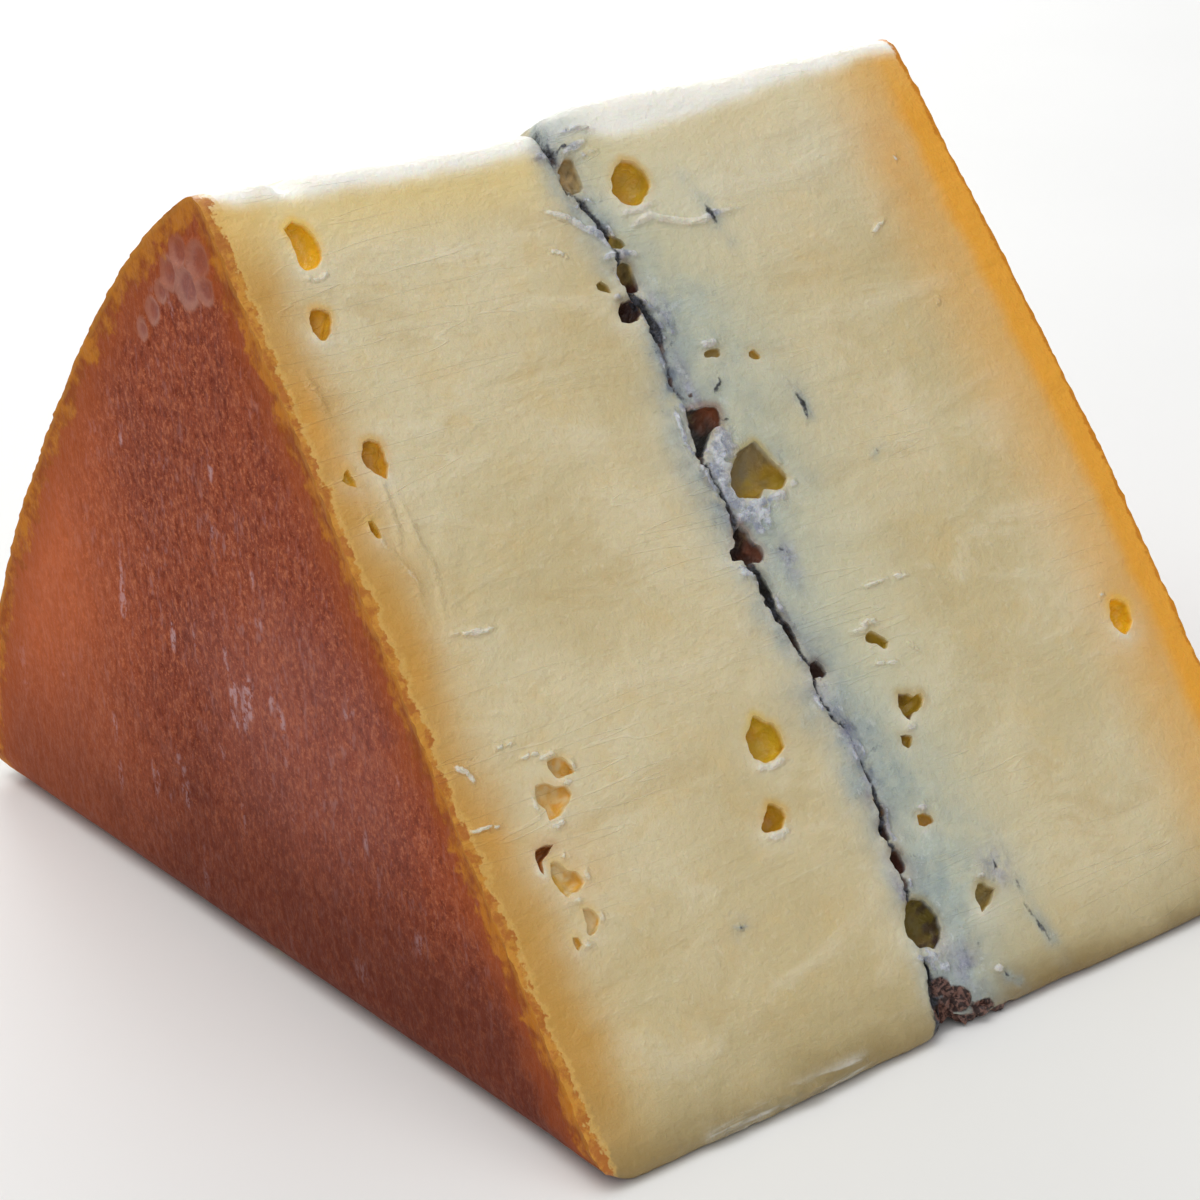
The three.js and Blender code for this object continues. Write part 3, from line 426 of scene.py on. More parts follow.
def min_dist_pts(px, py, poly, reach):
    """Distance to an outline, only worked out near it."""
    out = np.full(len(px), 1e9)
    lo, hi = poly.min(0) - reach, poly.max(0) + reach
    m = (px > lo[0]) & (px < hi[0]) & (py > lo[1]) & (py < hi[1])
    if m.any():
        d, _ = seg_dist(px[m], py[m], np.r_[poly, poly[:1]])
        out[m] = d
    return out


# ---- pits: outlines in the unrolled sleeve, (t, u) ------------------------------------
PIT_LIST = []
for k, (name, pts, depth, wall_tone_and_shade, floor, rough, under) in enumerate(PITS):
    q = smooth_loop(pts, 0.24 if depth > 0.9 else 0.22, 31 + k)
    PIT_LIST.append(dict(name=name, xs=np.c_[q[:, 0] - HALF, q[:, 1]], front=True, depth=depth, wall_tone_and_shade=wall_tone_and_shade, floor=floor,
                         rough=rough, under=under))
bz = PROF[PSEG == 2]
bt = PT[PSEG == 2]
for k, (x, z, rx, rz, depth, col) in enumerate(BACK_PITS):
    n = 14
    a = np.linspace(0, 2 * np.pi, n, endpoint=False)
    r = 1 + 0.16 * noise3(np.c_[np.cos(a) * 1.3 + k, np.sin(a) * 1.3, np.full(n, k * 2.1)], 1.0, 5)
    loop = np.c_[x + rx * r * np.cos(a), rz * r * np.sin(a)]
    q = smooth_loop(loop, 0.36, 131 + k)
    tc = float(np.interp(z, bz[:, 1], bt))
    PIT_LIST.append(dict(name='B%d' % k, xs=np.c_[q[:, 0], q[:, 1]], t0=tc, front=False, depth=depth, wall_tone_and_shade=col,
                         floor=tuple(c * 0.8 for c in col), rough=0.15 if k not in (6, 7) else 0.7, under=0.05))
for p in PIT_LIST:
    if p['front']:
        t = t_of_s(p['xs'][:, 1])
        z = z_of_s(p['xs'][:, 1])
    else:
        t = p['t0'] + p['xs'][:, 1]
        z = np.interp(t, PT, PROF[:, 1])
    p['tu'] = np.c_[t, x_to_u(p['xs'][:, 0], z)]


# ---- how fine the mesh is ---------------------------------------------------------------
def size_sleeve(t, u):
    y, z, _ = prof_at(t)
    x = u_to_x(u, z)
    s = t - T_FRONT0
    h = np.full(len(t), 2.2)
    front = (t > T_FA0) & (t < T_FD1)
    back = (t > T_FE0) & (t <= T_FA0)
    h[front] = 0.62
    h[back] = 1.1
    base = ~front & ~back
    edge = np.minimum(HALF - np.abs(u), 99)
    h[base & (edge < 5)] = 1.1
    h[base & (np.abs(u + 2.7) < 4)] = 0.8
    h[(np.abs(t - T_FE0) < 5)] = np.minimum(h[(np.abs(t - T_FE0) < 5)], 0.9)
    h[t > T_FD0 - 1] = np.minimum(h[t > T_FD0 - 1], 1.0)
    h[(t > T_FD0 - 2.0) & (t < T_FD1 + 1)] = 0.55
    m = front | ((t > T_FA0 - 2) & (t <= T_FA0))
    h[m] = np.minimum(h[m], 0.55)
    d = np.abs(x - ash_x(s))
    h[front & (d < 4.2)] = 0.40
    h[front & (d < 2.4)] = 0.275
    h[front & (edge < 1.6)] = 0.40
    h[back & (edge < 2)] = 0.55
    db = np.abs(x - ash_x_back(z))
    h[back & (db < 2.2)] = 0.55
    fx, fs = x + HALF, s
    sel = np.where(front)[0]
    for hw, wt, line in VEINS.values():
        dd, _ = seg_dist(fx[sel], fs[sel], line)
        h[sel[dd < 0.7]] = np.minimum(h[sel[dd < 0.7]], 0.275)
    for hw, ht, line in FLAKES.values():
        dd, _ = seg_dist(fx[sel], fs[sel], line)
        h[sel[dd < 0.8]] = np.minimum(h[sel[dd < 0.8]], 0.22)
    for ax_, as_, rx, rs in CURD + CRUMBS:
        m2 = np.hypot((fx[sel] - ax_) / (rx + 0.3), (fs[sel] - as_) / (rs + 0.3)) < 1.1
        h[sel[m2]] = np.minimum(h[sel[m2]], 0.22)
    for p in PIT_LIST:
        dd = min_dist_pts(t, u, p['tu'], 1.2)
        h[dd < 0.9] = np.minimum(h[dd < 0.9], 0.30 if p['front'] else 0.42)
    return h


def quad_points(x0, x1, y0, y1, root, size_fn, levels=4):
    nx, ny = max(1, int(round((x1 - x0) / root))), max(1, int(round((y1 - y0) / root)))
    cx = x0 + (np.arange(nx) + 0.5) * (x1 - x0) / nx
    cy = y0 + (np.arange(ny) + 0.5) * (y1 - y0) / ny
    gx, gy = [v.ravel() for v in np.meshgrid(cx, cy, indexing='ij')]
    wx, wy = (x1 - x0) / nx, (y1 - y0) / ny
    pts, hs = [], []
    for lv in range(levels + 1):
        want = size_fn(gx, gy)
        if wx > 1.0:  # look at the corners too, so thin fine bands aren't missed
            for ox, oy in ((-.35, -.35), (.35, -.35), (-.35, .35), (.35, .35)):
                want = np.minimum(want, size_fn(gx + ox * wx, gy + oy * wy))
        cell = max(wx, wy)
        split = (want < cell * 0.78) & (lv < levels)
        keep = ~split
        pts.append(np.c_[gx[keep], gy[keep]])
        hs.append(np.full(keep.sum(), cell))
        gx, gy = gx[split], gy[split]
        wx, wy = wx / 2, wy / 2
        gx = np.concatenate([gx - wx / 2, gx + wx / 2, gx - wx / 2, gx + wx / 2])
        gy = np.concatenate([gy - wy / 2, gy - wy / 2, gy + wy / 2, gy + wy / 2])
        if not len(gx):
            break
    p, h = np.concatenate(pts), np.concatenate(hs)
    jit = rng.uniform(-0.22, 0.22, p.shape) * h[:, None]
    return p + jit, h


def steps(a, b, size_of):
    """Points from a to b, each step as long as size_of says."""
    out = [a]
    while True:
        st = float(size_of(out[-1]))
        if out[-1] + 1.5 * st >= b:
            break
        out.append(out[-1] + st)
    out.append(b)
    return np.array(out)


def cdt(points, edges):
    vs = [Vector((float(a), float(b))) for a, b in points]
    out = delaunay_2d_cdt(vs, [(int(a), int(b)) for a, b in edges], [], 0, 1e-7)
    ov, oe, of_, orig_v = out[0], out[1], out[2], out[3]
    back = [o[0] if o else -1 for o in orig_v]
    assert min(back) >= 0 and len(ov) == len(points), "the outlines cross: %d %d" % (len(ov), len(points))
    tri = np.array([[back[i] for i in f] for f in of_ if len(f) == 3], int)
    return tri


# ---- sleeve: both cuts and the rim side, unrolled ---------------------------------------
def edge_size(t):
    if T_FA0 < t < T_FD1:
        return 0.36
    if T_FE0 < t <= T_FA0:
        return 0.6
    return 0.9


t_edge = steps(0.0, TL, edge_size)
u_edge = steps(-HALF, HALF, lambda v: 0.8 if abs(v + 2.7) < 4 else 1.5)
pts = []
nL = len(t_edge)
for t in t_edge:
    pts.append((t, -HALF))
for t in t_edge:
    pts.append((t, HALF))
iu0 = len(pts)
for u in u_edge[1:-1]:
    pts.append((0.0, u))
iu1 = len(pts)
for u in u_edge[1:-1]:
    pts.append((TL, u))
edges = [(k, k + 1) for k in range(nL - 1)] + [(nL + k, nL + k + 1) for k in range(nL - 1)]
ring0 = [0] + list(range(iu0, iu1)) + [nL]
ring1 = [nL - 1] + list(range(iu1, len(pts))) + [2 * nL - 1]
edges += list(zip(ring0[:-1], ring0[1:])) + list(zip(ring1[:-1], ring1[1:]))
for p in PIT_LIST:
    p['i0'] = len(pts)
    n = len(p['tu'])
    pts += [tuple(v) for v in p['tu']]
    edges += [(p['i0'] + k, p['i0'] + (k + 1) % n) for k in range(n)]
fixed = np.array(pts)
inner, hh = quad_points(0.0, TL, -HALF, HALF, 2.2, size_sleeve, 3)
ok = (inner[:, 0] > 0.5 * hh) & (inner[:, 0] < TL - 0.5 * hh) & (np.abs(inner[:, 1]) < HALF - 0.45 * np.minimum(hh, 0.9))
inner, hh = inner[ok], hh[ok]
keep = np.ones(len(inner), bool)
for p in PIT_LIST:
    d = min_dist_pts(inner[:, 0], inner[:, 1], p['tu'], 0.8)
    keep &= d > 0.12
    lo, hi = p['tu'].min(0), p['tu'].max(0)
    m = (inner[:, 0] > lo[0]) & (inner[:, 0] < hi[0]) & (inner[:, 1] > lo[1]) & (inner[:, 1] < hi[1])
    if m.any():
        mi = np.where(m)[0]
        keep[mi[inside(inner[mi, 0], inner[mi, 1], p['tu'])]] = False
inner = inner[keep]
sleeve = np.r_[fixed, inner]
tri = cdt(sleeve, edges)
c = sleeve[tri].mean(1)
drop = np.zeros(len(tri), bool)
for p in PIT_LIST:
    lo, hi = p['tu'].min(0), p['tu'].max(0)
    m = (c[:, 0] > lo[0]) & (c[:, 0] < hi[0]) & (c[:, 1] > lo[1]) & (c[:, 1] < hi[1])
    mi = np.where(m)[0]
    if len(mi):
        drop[mi[inside(c[mi, 0], c[mi, 1], p['tu'])]] = True
tri = tri[~drop]
a, b, cc = sleeve[tri[:, 0]], sleeve[tri[:, 1]], sleeve[tri[:, 2]]
area = (b[:, 0] - a[:, 0]) * (cc[:, 1] - a[:, 1]) - (b[:, 1] - a[:, 1]) * (cc[:, 0] - a[:, 0])
tri = tri[np.abs(area) > 1e-9]
area = area[np.abs(area) > 1e-9]
# the sleeve faces out when (t, u) turns the right way: d/dt x d/du must point out
flip = area < 0
tri[flip] = tri[flip][:, [0, 2, 1]]
# weld the run's end to its start: t = TL is the same line as t = 0
remap = np.arange(len(sleeve))
for a_, b_ in zip(ring1, ring0):
    remap[a_] = b_
tri = remap[tri]

# vertex table: position, kind, parameters
T = sleeve[:, 0].copy()
U = sleeve[:, 1].copy()
y, z, n2 = prof_at(T)
X = u_to_x(U, z)
P = np.c_[X, y, z]
N = np.c_[np.zeros(len(T)), n2]
S = T - T_FRONT0
# d/dt is along (0, ty, tz) and d/du along +X: t cross u = (0, tz, -ty), the outward normal, so counter-clockwise in (t, u) faces out
verts = [P]
faces = [tri]
fmat = [np.where(((T[tri].mean(1) > T_RIND_BACK) & (T[tri].mean(1) < T_RIND_FRONT)), 0, 1)]
v_on_front = [(T >= T_FA0) & (T <= T_FD1)]
depthf = [np.zeros(len(T))]      # 0 at the surface, 1 at a pit's floor
pcol = [np.zeros((len(T), 4))]
vnorm = [N]
vT, vU = [T], [U]
is_cap = [np.zeros(len(T), int)]  # -1 left, 1 right, 0 sleeve
uvs = [None]

# ---- pits: rings that go down from each outline -----------------------------------------
count = len(T)
for pi, p in enumerate(PIT_LIST):
    n = len(p['tu'])
    base = P[p['i0']:p['i0'] + n]
    tu = p['tu']
    # a centre that lies well inside: the mean, pulled towards the widest part
    ctu = tu.mean(0)
    if not inside(ctu[:1], ctu[1:2], tu)[0]:
        g = rng.uniform(tu.min(0), tu.max(0), (400, 2))
        g = g[inside(g[:, 0], g[:, 1], tu)]
        dd = min_dist_pts(g[:, 0], g[:, 1], tu, 5.0)
        ctu = g[np.argmax(dd)]
    cy, cz, cn = prof_at(ctu[:1])
    cx = u_to_x(ctu[1:2], cz)
    centre = np.array([cx[0], cy[0], cz[0]])
    nn = np.r_[0.0, cn[0]]
    sdir = np.cross(nn, [1.0, 0.0, 0.0]) * -1.0
    if sdir[2] > 0:
        sdir = -sdir
    D = p['depth']
    K = 9 if D > 1.2 else 7
    tau = np.linspace(0, 1, K + 1)[1:]
    prev = np.arange(p['i0'], p['i0'] + n)
    taus_full = []
    rad = np.linalg.norm(base - centre, axis=1).mean()
    lip = min(0.10, 0.08 * rad)
    for k, tv in enumerate(tau[:-1]):
        if k == 0:
            sc, df = 1 - lip / rad, 0.10 / D
        else:
            q = (k) / (K - 1)
            # wall falls steeply, then rounds into the floor
            sc = (1 - lip / rad) * (math.cos(q * math.pi / 2) ** 0.50) * (1 + p['under'] * math.sin(min(1.0, q * 2.2) * math.pi))
            df = 0.10 / D + (1 - 0.10 / D) * (math.sin(q * math.pi / 2) ** 0.95)
        v = centre + (base - centre) * sc - nn * (D * df)
        # the hollow leans towards the lower left under the skin
        v = v + (np.array([-0.16, 0, 0]) + sdir * 0.12) * D * df
        w = p['rough'] * min(1.0, 3 * df) * 0.55
        if p['rough'] > 0:
            v = v - nn * (w * fbm(v + pi, 1.3, 3, 7 + pi) * min(1.0, D))[:, None]
            side = (base - centre)
            side /= np.linalg.norm(side, axis=1)[:, None] + 1e-9
            v = v + side * (0.12 + 0.35 * p['rough'])* (min(1.0, 3 * df) * noise3(v + 5 + pi, 1.1, 11 + pi))[:, None] * 0.35 * sc
        ids = np.arange(count, count + n)
        count += n
        verts.append(v)
        wall_tone_and_shade, floor = np.array(p['wall_tone_and_shade']), np.array(p['floor'])
        off = v - centre
        ext = np.abs(base - centre).max(0) + 1e-6
        across = off[:, 0] / ext[0]
        if p['name'] in ('C2', 'C3'):
            across = across - (1.05 if p['name'] == 'C2' else 0.55) - (0.9 if p['name'] == 'C2' else 0.1) * (off @ sdir) / (np.abs((base - centre) @ sdir).max() + 1e-6)
        if p['name'] == 'BOT':
            across = across * 0.7 - 0.35 * (off @ sdir) / (np.abs((base - centre) @ sdir).max() + 1e-6) + 0.1
        if p['name'] == 'H1':
            across = (off @ sdir) / (np.abs((base - centre) @ sdir).max() + 1e-6) * 1.4 - 0.2
        # wall colour to the left and near the lip, floor colour to the right and deeper down; a darker wall colour is
        # painted shade on the hollow's left side
        g = smooth(-0.75, 0.55, across + 0.35 * (df - 0.5) + 0.25 * noise3(v * 1.0 + pi, 1.2, 13))
        colr = wall_tone_and_shade * (1 - g)[:, None] + floor * g[:, None]
        down = (off @ sdir) / (np.abs((base - centre) @ sdir).max() + 1e-6)
        side_ = off[:, 0] / ext[0]
        nzc = noise3(v * 1.0 + pi, 1.5, 14)
        if p['name'] == 'BIG':
            tan_ = np.array([0.33, 0.25, 0.115])
            gold = np.array([0.46, 0.31, 0.010])
            brn = np.array([0.13, 0.045, 0.012])
            w1 = smooth(-0.25, 0.55, 0.75 * down + 0.45 * side_ + 0.30 * nzc)[:, None]
            colr = tan_ * (1 - w1) + gold * w1
            # painted shade: brown on the left side, strongest near the lip
            w2 = (smooth(0.15, 0.70, -side_ * 0.9 + 0.15 * down + 0.3 * nzc) * (0.35 + 0.65 * smooth(0.9, 0.5, df)))[:, None] * 0.9
            colr = (colr * (1 - w2) + brn * w2) * 0.92
        if p['name'] in ('P1', 'P2', 'P4', 'P5', 'P6'):
            w1 = smooth(-0.15, 0.45, noise3(v * 1.0 + pi, 1.9, 15) + 0.25 * side_)[:, None]
            colr = np.array([0.68, 0.53, 0.27]) * (1 - w1) + np.array([0.66, 0.38, 0.05]) * w1
        if p['name'] == 'BOT':
            oliv = np.array([0.19, 0.135, 0.010])
            brn = np.array([0.045, 0.018, 0.010])
            w2 = np.clip(smooth(0.55, 0.15, df) * smooth(-0.5, 0.5, -side_ + 0.6 * down + 0.6 * nzc)
                         + smooth(0.30, 0.5, nzc + 0.3 * side_ + 0.2 * down) * 0.8, 0, 1)[:, None]
            colr = oliv * (1 - w2) + brn * w2
        if p['name'] in ('H1', 'TAN', 'S2', 'C3', 'C2'):
            colr = colr * np.clip(1 + 0.7 * nzc, 0.3, 1.8)[:, None]
        else:
            colr = colr * np.clip(1 + 0.14 * nzc, 0.5, 1.4)[:, None]
        wgt = 0.95 if k else 0.60
        pcol.append(np.c_[colr, np.full(n, wgt)])
        depthf.append(np.full(n, df))
        vnorm.append(np.tile(nn, (n, 1)))
        vT.append(np.full(n, ctu[0]) + (tu[:, 0] - ctu[0]) * (1 - tv))
        vU.append(np.full(n, ctu[1]) + (tu[:, 1] - ctu[1]) * (1 - tv))
        v_on_front.append(np.full(n, p['front']))
        is_cap.append(np.zeros(n, int))
        nxt = np.roll(np.arange(n), -1)
        f1 = np.c_[prev, prev[nxt], ids[nxt]]
        f2 = np.c_[prev, ids[nxt], ids]
        faces.append(np.r_[f1, f2])
        fmat.append(np.zeros(2 * n, int))
        prev = ids
    # floor point
    v = centre - nn * D + (np.array([-0.16, 0, 0]) + sdir * 0.12) * D
    verts.append(v[None])
    pcol.append(np.r_[colr.mean(0), 0.95][None])
    depthf.append(np.ones(1))
    vnorm.append(nn[None])
    vT.append(ctu[:1])
    vU.append(ctu[1:2])
    v_on_front.append(np.array([p['front']]))
    is_cap.append(np.zeros(1, int))
    nxt = np.roll(np.arange(n), -1)
    faces.append(np.c_[prev, prev[nxt], np.full(n, count)])
    fmat.append(np.zeros(n, int))
    count += 1
pit_faces_from = len(tri)


# ---- the two rind faces -------------------------------------------------------------------
def cap(side):
    global count
    ids = np.arange(nL - 1) if side < 0 else nL + np.arange(nL - 1)
    ring = np.c_[P[ids][:, 1], P[ids][:, 2]]
    fine = 0.55 if side < 0 else 0.8

    def size(yy, zz):
        d = np.full(len(yy), fine)
        dist = min_dist_pts(yy, zz, ring, 2.0)
        d[dist < 1.2] = min(fine, 0.45)
        if side < 0:  # the dried blister near the tip
            d[(np.abs(yy - 3.0) < 7) & (np.abs(zz - 59) < 6)] = 0.4
        return d

    q, h = quad_points(FOOT_Y, HEEL_Y + 1, 0.0, TIP_Z, 2.2, size, 3)
    m = inside(q[:, 0], q[:, 1], ring)
    q, h = q[m], h[m]
    d = min_dist_pts(q[:, 0], q[:, 1], ring, 3.0)
    m = d > 0.42 * np.minimum(h, 0.6)
    q = q[m]
    allp = np.r_[ring, q]
    nR = len(ring)
    tr = cdt(allp, [(k, (k + 1) % nR) for k in range(nR)])
    cc_ = allp[tr].mean(1)
    tr = tr[inside(cc_[:, 0], cc_[:, 1], ring)]
    a, b, c_ = allp[tr[:, 0]], allp[tr[:, 1]], allp[tr[:, 2]]
    ar = (b[:, 0] - a[:, 0]) * (c_[:, 1] - a[:, 1]) - (b[:, 1] - a[:, 1]) * (c_[:, 0] - a[:, 0])
    tr = tr[np.abs(ar) > 1e-9]
    ar = ar[np.abs(ar) > 1e-9]
    want = 1 if side > 0 else -1     # Y cross Z = +X
    fl = np.sign(ar) != want
    tr[fl] = tr[fl][:, [0, 2, 1]]
    idx = np.r_[ids, np.arange(count, count + len(q))]
    count += len(q)
    xx = -half_left(q[:, 1]) if side < 0 else half_right(q[:, 1])
    verts.append(np.c_[xx, q[:, 0], q[:, 1]])
    faces.append(idx[tr])
    fmat.append(np.ones(len(tr), int))
    k = len(q)
    pcol.append(np.zeros((k, 4)))
    depthf.append(np.zeros(k))
    vnorm.append(np.tile([float(side), 0, 0], (k, 1)))
    vT.append(np.full(k, -1.0))
    vU.append(np.full(k, float(side) * HALF))
    v_on_front.append(np.zeros(k, bool))
    is_cap.append(np.full(k, side))


cap(-1)
cap(1)

V = np.concatenate(verts)
F = np.concatenate(faces)
FM = np.concatenate(fmat)
PC = np.concatenate(pcol)
DF = np.concatenate(depthf)
VN = np.concatenate(vnorm)
VT, VU = np.concatenate(vT), np.concatenate(vU)
FRONT = np.concatenate(v_on_front)
CAP = np.concatenate(is_cap)
NV = len(V)
V0 = V.copy()
SS = VT - T_FRONT0
BACK = (CAP == 0) & (VT > T_FE0) & (VT < T_FA0)
on_edge = np.zeros(NV, bool)
on_edge[:2 * nL] = True

# =====================================================================================
# Relief. Every point moves along its own normal; points on a cut's border move along both.
# =====================================================================================
x, yv, zv = V0[:, 0], V0[:, 1], V0[:, 2]
FX = x + HALF
rel = np.zeros(NV)
front = FRONT & (CAP == 0)
cutface = (front | BACK) & (CAP == 0)
dash = np.where(front, x - ash_x(SS), np.where(BACK, x - ash_x_back(zv), 99.0))
pf = np.c_[x, yv, zv]

# broad, soft swells of the pressed curd and faint drag of the wire
rel += np.where(cutface, 0.20 * fbm(pf, 0.055, 3, 1) + 0.075 * fbm(pf, 0.30, 3, 2), 0)
drag = noise3(np.c_[x * 0.10 + SS * 0.03, SS * 0.55 + 1.6 * noise3(pf, 0.05, 4), zv * 0], 1.0, 3)
rel += np.where(front, 0.022 * drag, 0) + np.where(BACK, 0.04 * noise3(np.c_[x * 0.08, zv * 0.5, zv * 0], 1.0, 6), 0)
# ripples where the wire stuttered, low on the left half
rip = np.exp(-((FX - 8.5) / 3.2) ** 2 - ((SS - 35.5) / 6.5) ** 2)
rel += np.where(front, 0.035 * rip * 1.7 * np.sin((SS * 0.55 + FX * 1.25) * 1.7 + 2.2 * noise3(pf, 0.16, 8)), 0)
# the right half stands back a touch from the left near the seam
stepw = smooth(0, 9, SS) * (0.12 + 0.06 * smooth(60, 84, SS))
rel += np.where(front, -stepw * smooth(-0.5, 0.7, dash) * np.exp(-np.clip(dash, 0, 99) / 14), 0)

# the seam itself
gw = np.where(front, np.interp(SS, GROOVE[:, 0], GROOVE[:, 1]), 0.28)
gd = np.where(front, np.interp(SS, GROOVE[:, 0], GROOVE[:, 2]), 0.55)
wob = 0.16 * noise3(pf, 1.9, 21) + 0.08 * noise3(pf, 4.3, 22)
dn = np.abs(dash + wob)
open_ = np.clip(0.75 + 0.55 * noise3(pf, 0.5, 23), 0.25, 1.3)
groove = np.exp(-(dn / (gw * 1.15)) ** 2 * 1.6) * gd * open_
rel += np.where(cutface, -groove * (1 - smooth(0.0, 0.25, DF)), 0)
# broken, mealy curd beside it
mealy = np.exp(-(dash / 1.5) ** 2) * np.where(front, 1.0, 0.8)
rel += np.where(cutface, mealy * (0.16 * fbm(pf, 1.1, 3, 24) + 0.10 * np.abs(noise3(pf, 2.6, 25))), 0)
wl = np.where(front, np.interp(SS, BLOOM[:, 0], BLOOM[:, 1]), 2.0)
ws = np.where(front, 1.35 * np.interp(SS, BLOOM[:, 0], BLOOM[:, 2]), 1.2 + 0.4 * noise3(pf, 0.12, 27))
wp = np.where(front, np.interp(SS, BLOOM[:, 0], BLOOM[:, 3]), 4.2 + 2.2 * noise3(pf, 0.10, 28))
sp = np.where(front, np.interp(SS, BLOOM[:, 0], BLOOM[:, 4]), 0.75)
dw = dash + 0.5 * noise3(pf, 0.45, 29) + 0.9 * noise3(pf, 0.16, 30) * smooth(1.0, 5.0, np.abs(dash))
bloomw = np.where(dw > 0, np.exp(-(np.abs(dw) / wp) ** 2.4) * sp, np.exp(-(np.abs(dw) / wl) ** 1.7) * 0.78)
bloomw = bloomw * np.clip(0.86 + 0.55 * fbm(pf, 0.20, 3, 33), 0.35, 1.15)
bloomw = np.where(cutface, bloomw, 0)
blue = np.where(dw > 0, np.exp(-(np.abs(dw) / ws) ** 1.5), np.exp(-(np.abs(dw) / (0.60 * wl)) ** 1.4))
blue = np.where(cutface, blue * np.clip(0.80 + 0.7 * fbm(pf, 0.55, 3, 34), 0.15, 1.2), 0)
rel += np.where(cutface, bloomw * 0.035 * fbm(pf, 0.9, 3, 26), 0)

white = np.zeros(NV)
veind = np.zeros(NV)
fi = np.where(front)[0]
for hw, ht, line in FLAKES.values():
    d, fr = seg_dist(FX[fi], SS[fi], line)
    d = np.abs(d + 0.10 * noise3(pf[fi], 1.4, 41))
    taper = 0.45 + 0.55 * smooth(0, 0.22, fr) * smooth(0, 0.22, 1 - fr)
    g = np.exp(-(d / hw) ** 2 * 1.3) * taper
    g2 = smooth(0.30, 0.75, g * (0.85 + 0.35 * noise3(pf[fi], 2.3, 42)))
    rel[fi] += ht * g2 * (0.8 + 0.4 * noise3(pf[fi], 1.7, 42)) * (1 - smooth(0.05, 0.3, DF[fi]))
    white[fi] = np.maximum(white[fi], g * (0.42 if ht < 0.13 or hw == 0.42 else 1.0))
for cx_, cs_, rx, rs in CURD:
    r = np.hypot((FX[fi] - cx_) / rx, (SS[fi] - cs_) / rs)
    g = np.exp(-r ** 2 * 0.8) * (1 - smooth(0.02, 0.2, DF[fi]))
    lump = 0.45 + 0.55 * noise3(pf[fi] + cx_, 1.2, 47) + 0.25 * noise3(pf[fi], 2.7, 48)
    torn = 0.85 + 0.60 * noise3(pf[fi], 1.3, 49) + 0.45 * noise3(pf[fi], 3.4, 50)
    g2 = smooth(0.30, 0.62, g * torn)
    rel[fi] += g2 * (0.05 + 0.26 * np.clip(lump, 0, 1.2) * min(1.0, rx + rs))
    white[fi] = np.maximum(white[fi], g * np.clip(torn, 0, 1.1))
fringe = np.exp(-((np.abs(dash[fi] + wob[fi]) - gw[fi] - 0.34) / 0.22) ** 2) * smooth(0.0, 0.5, noise3(pf[fi], 0.55, 44) + 0.35 * noise3(pf[fi], 1.9, 45))
white[fi] = np.maximum(white[fi], 0.85 * fringe * (SS[fi] > 8) * (SS[fi] < 80))
rel[fi] += 0.10 * fringe * (1 - smooth(0.02, 0.2, DF[fi]))
for hw, wt, line in VEINS.values():
    d, fr = seg_dist(FX[fi], SS[fi], line)
    d = np.abs(d + 0.10 * noise3(pf[fi], 2.0, 43))
    taper = np.clip(np.sin(np.pi * np.clip(fr, 0.05, 0.95)), 0.3, 1) * np.clip(0.75 + 0.7 * noise3(pf[fi], 0.9, 46), 0.2, 1.2)
    g = np.exp(-(d / hw) ** 2) * taper * wt
    halo = np.exp(-(d / 0.9) ** 2) * taper * wt * 0.35
    veind[fi] = np.maximum(veind[fi], np.maximum(g, 0))
    blue[fi] = np.maximum(blue[fi], halo * 1.5)
    bloomw[fi] = np.maximum(bloomw[fi], halo * 2.2)
    rel[fi] -= 0.08 * g
# proud lip round each eye, raised most on its lower side where it catches the light; lip and under carry painted
# highlights on that lower side
lip = np.zeros(NV)
under = np.zeros(NV)
for p in PIT_LIST:
    d = min_dist_pts(VT, VU, p['tu'], 2.6)
    m = (d < 2.6) & (CAP == 0)
    if not m.any():
        continue
    c0 = p['tu'].mean(0)
    low = np.clip(0.5 + 0.5 * ((VT[m] - c0[0]) - 0.3 * (VU[m] - c0[1])) / (np.ptp(p['tu'][:, 0]) / 2 + 0.3), 0, 1) if p['front'] else 0.5
    g = np.exp(-(d[m] / 0.32) ** 2)
    nz = noise3(pf[m], 1.5, 57)
    # painted highlight: a wide pale glow beside the lower side of each eye
    under[m] = np.maximum(under[m], np.exp(-(d[m] / 1.4) ** 2) * low ** 1.5 * (DF[m] == 0) * (1 if p['depth'] > 1.2 else 0.4))
    # colour bleeds through the thin skin on the upper right
    hi = (1 - low) if p['front'] else 0.3
    al = np.exp(-(d[m] / 0.45) ** 2) * hi * (0.62 if p['depth'] > 1.2 else 0.35)
    mi = np.where(m)[0]
    up_ = (DF[mi] == 0) & (al > PC[mi, 3])
    PC[mi[up_], :3] = 0.3 * np.array(p['wall_tone_and_shade']) + 0.7 * np.array(p['floor'])
    PC[mi[up_], 3] = al[up_]
    rel[m] += (0.02 + 0.13 * low ** 2 * (0.6 + 0.8 * nz)) * g * (1 - smooth(0.0, 0.12, DF[m]))
    # painted highlight along the lower lip of each eye
    g2 = np.exp(-(d[m] / 0.42) ** 2) * (1 - smooth(0.0, 0.10, DF[m]))
    lip[m] = np.maximum(lip[m], g2 * (0.10 + 0.90 * low ** 2) * np.clip(0.75 + 0.6 * nz, 0, 1.2) * (1 if p['depth'] > 0.9 else 0.6))

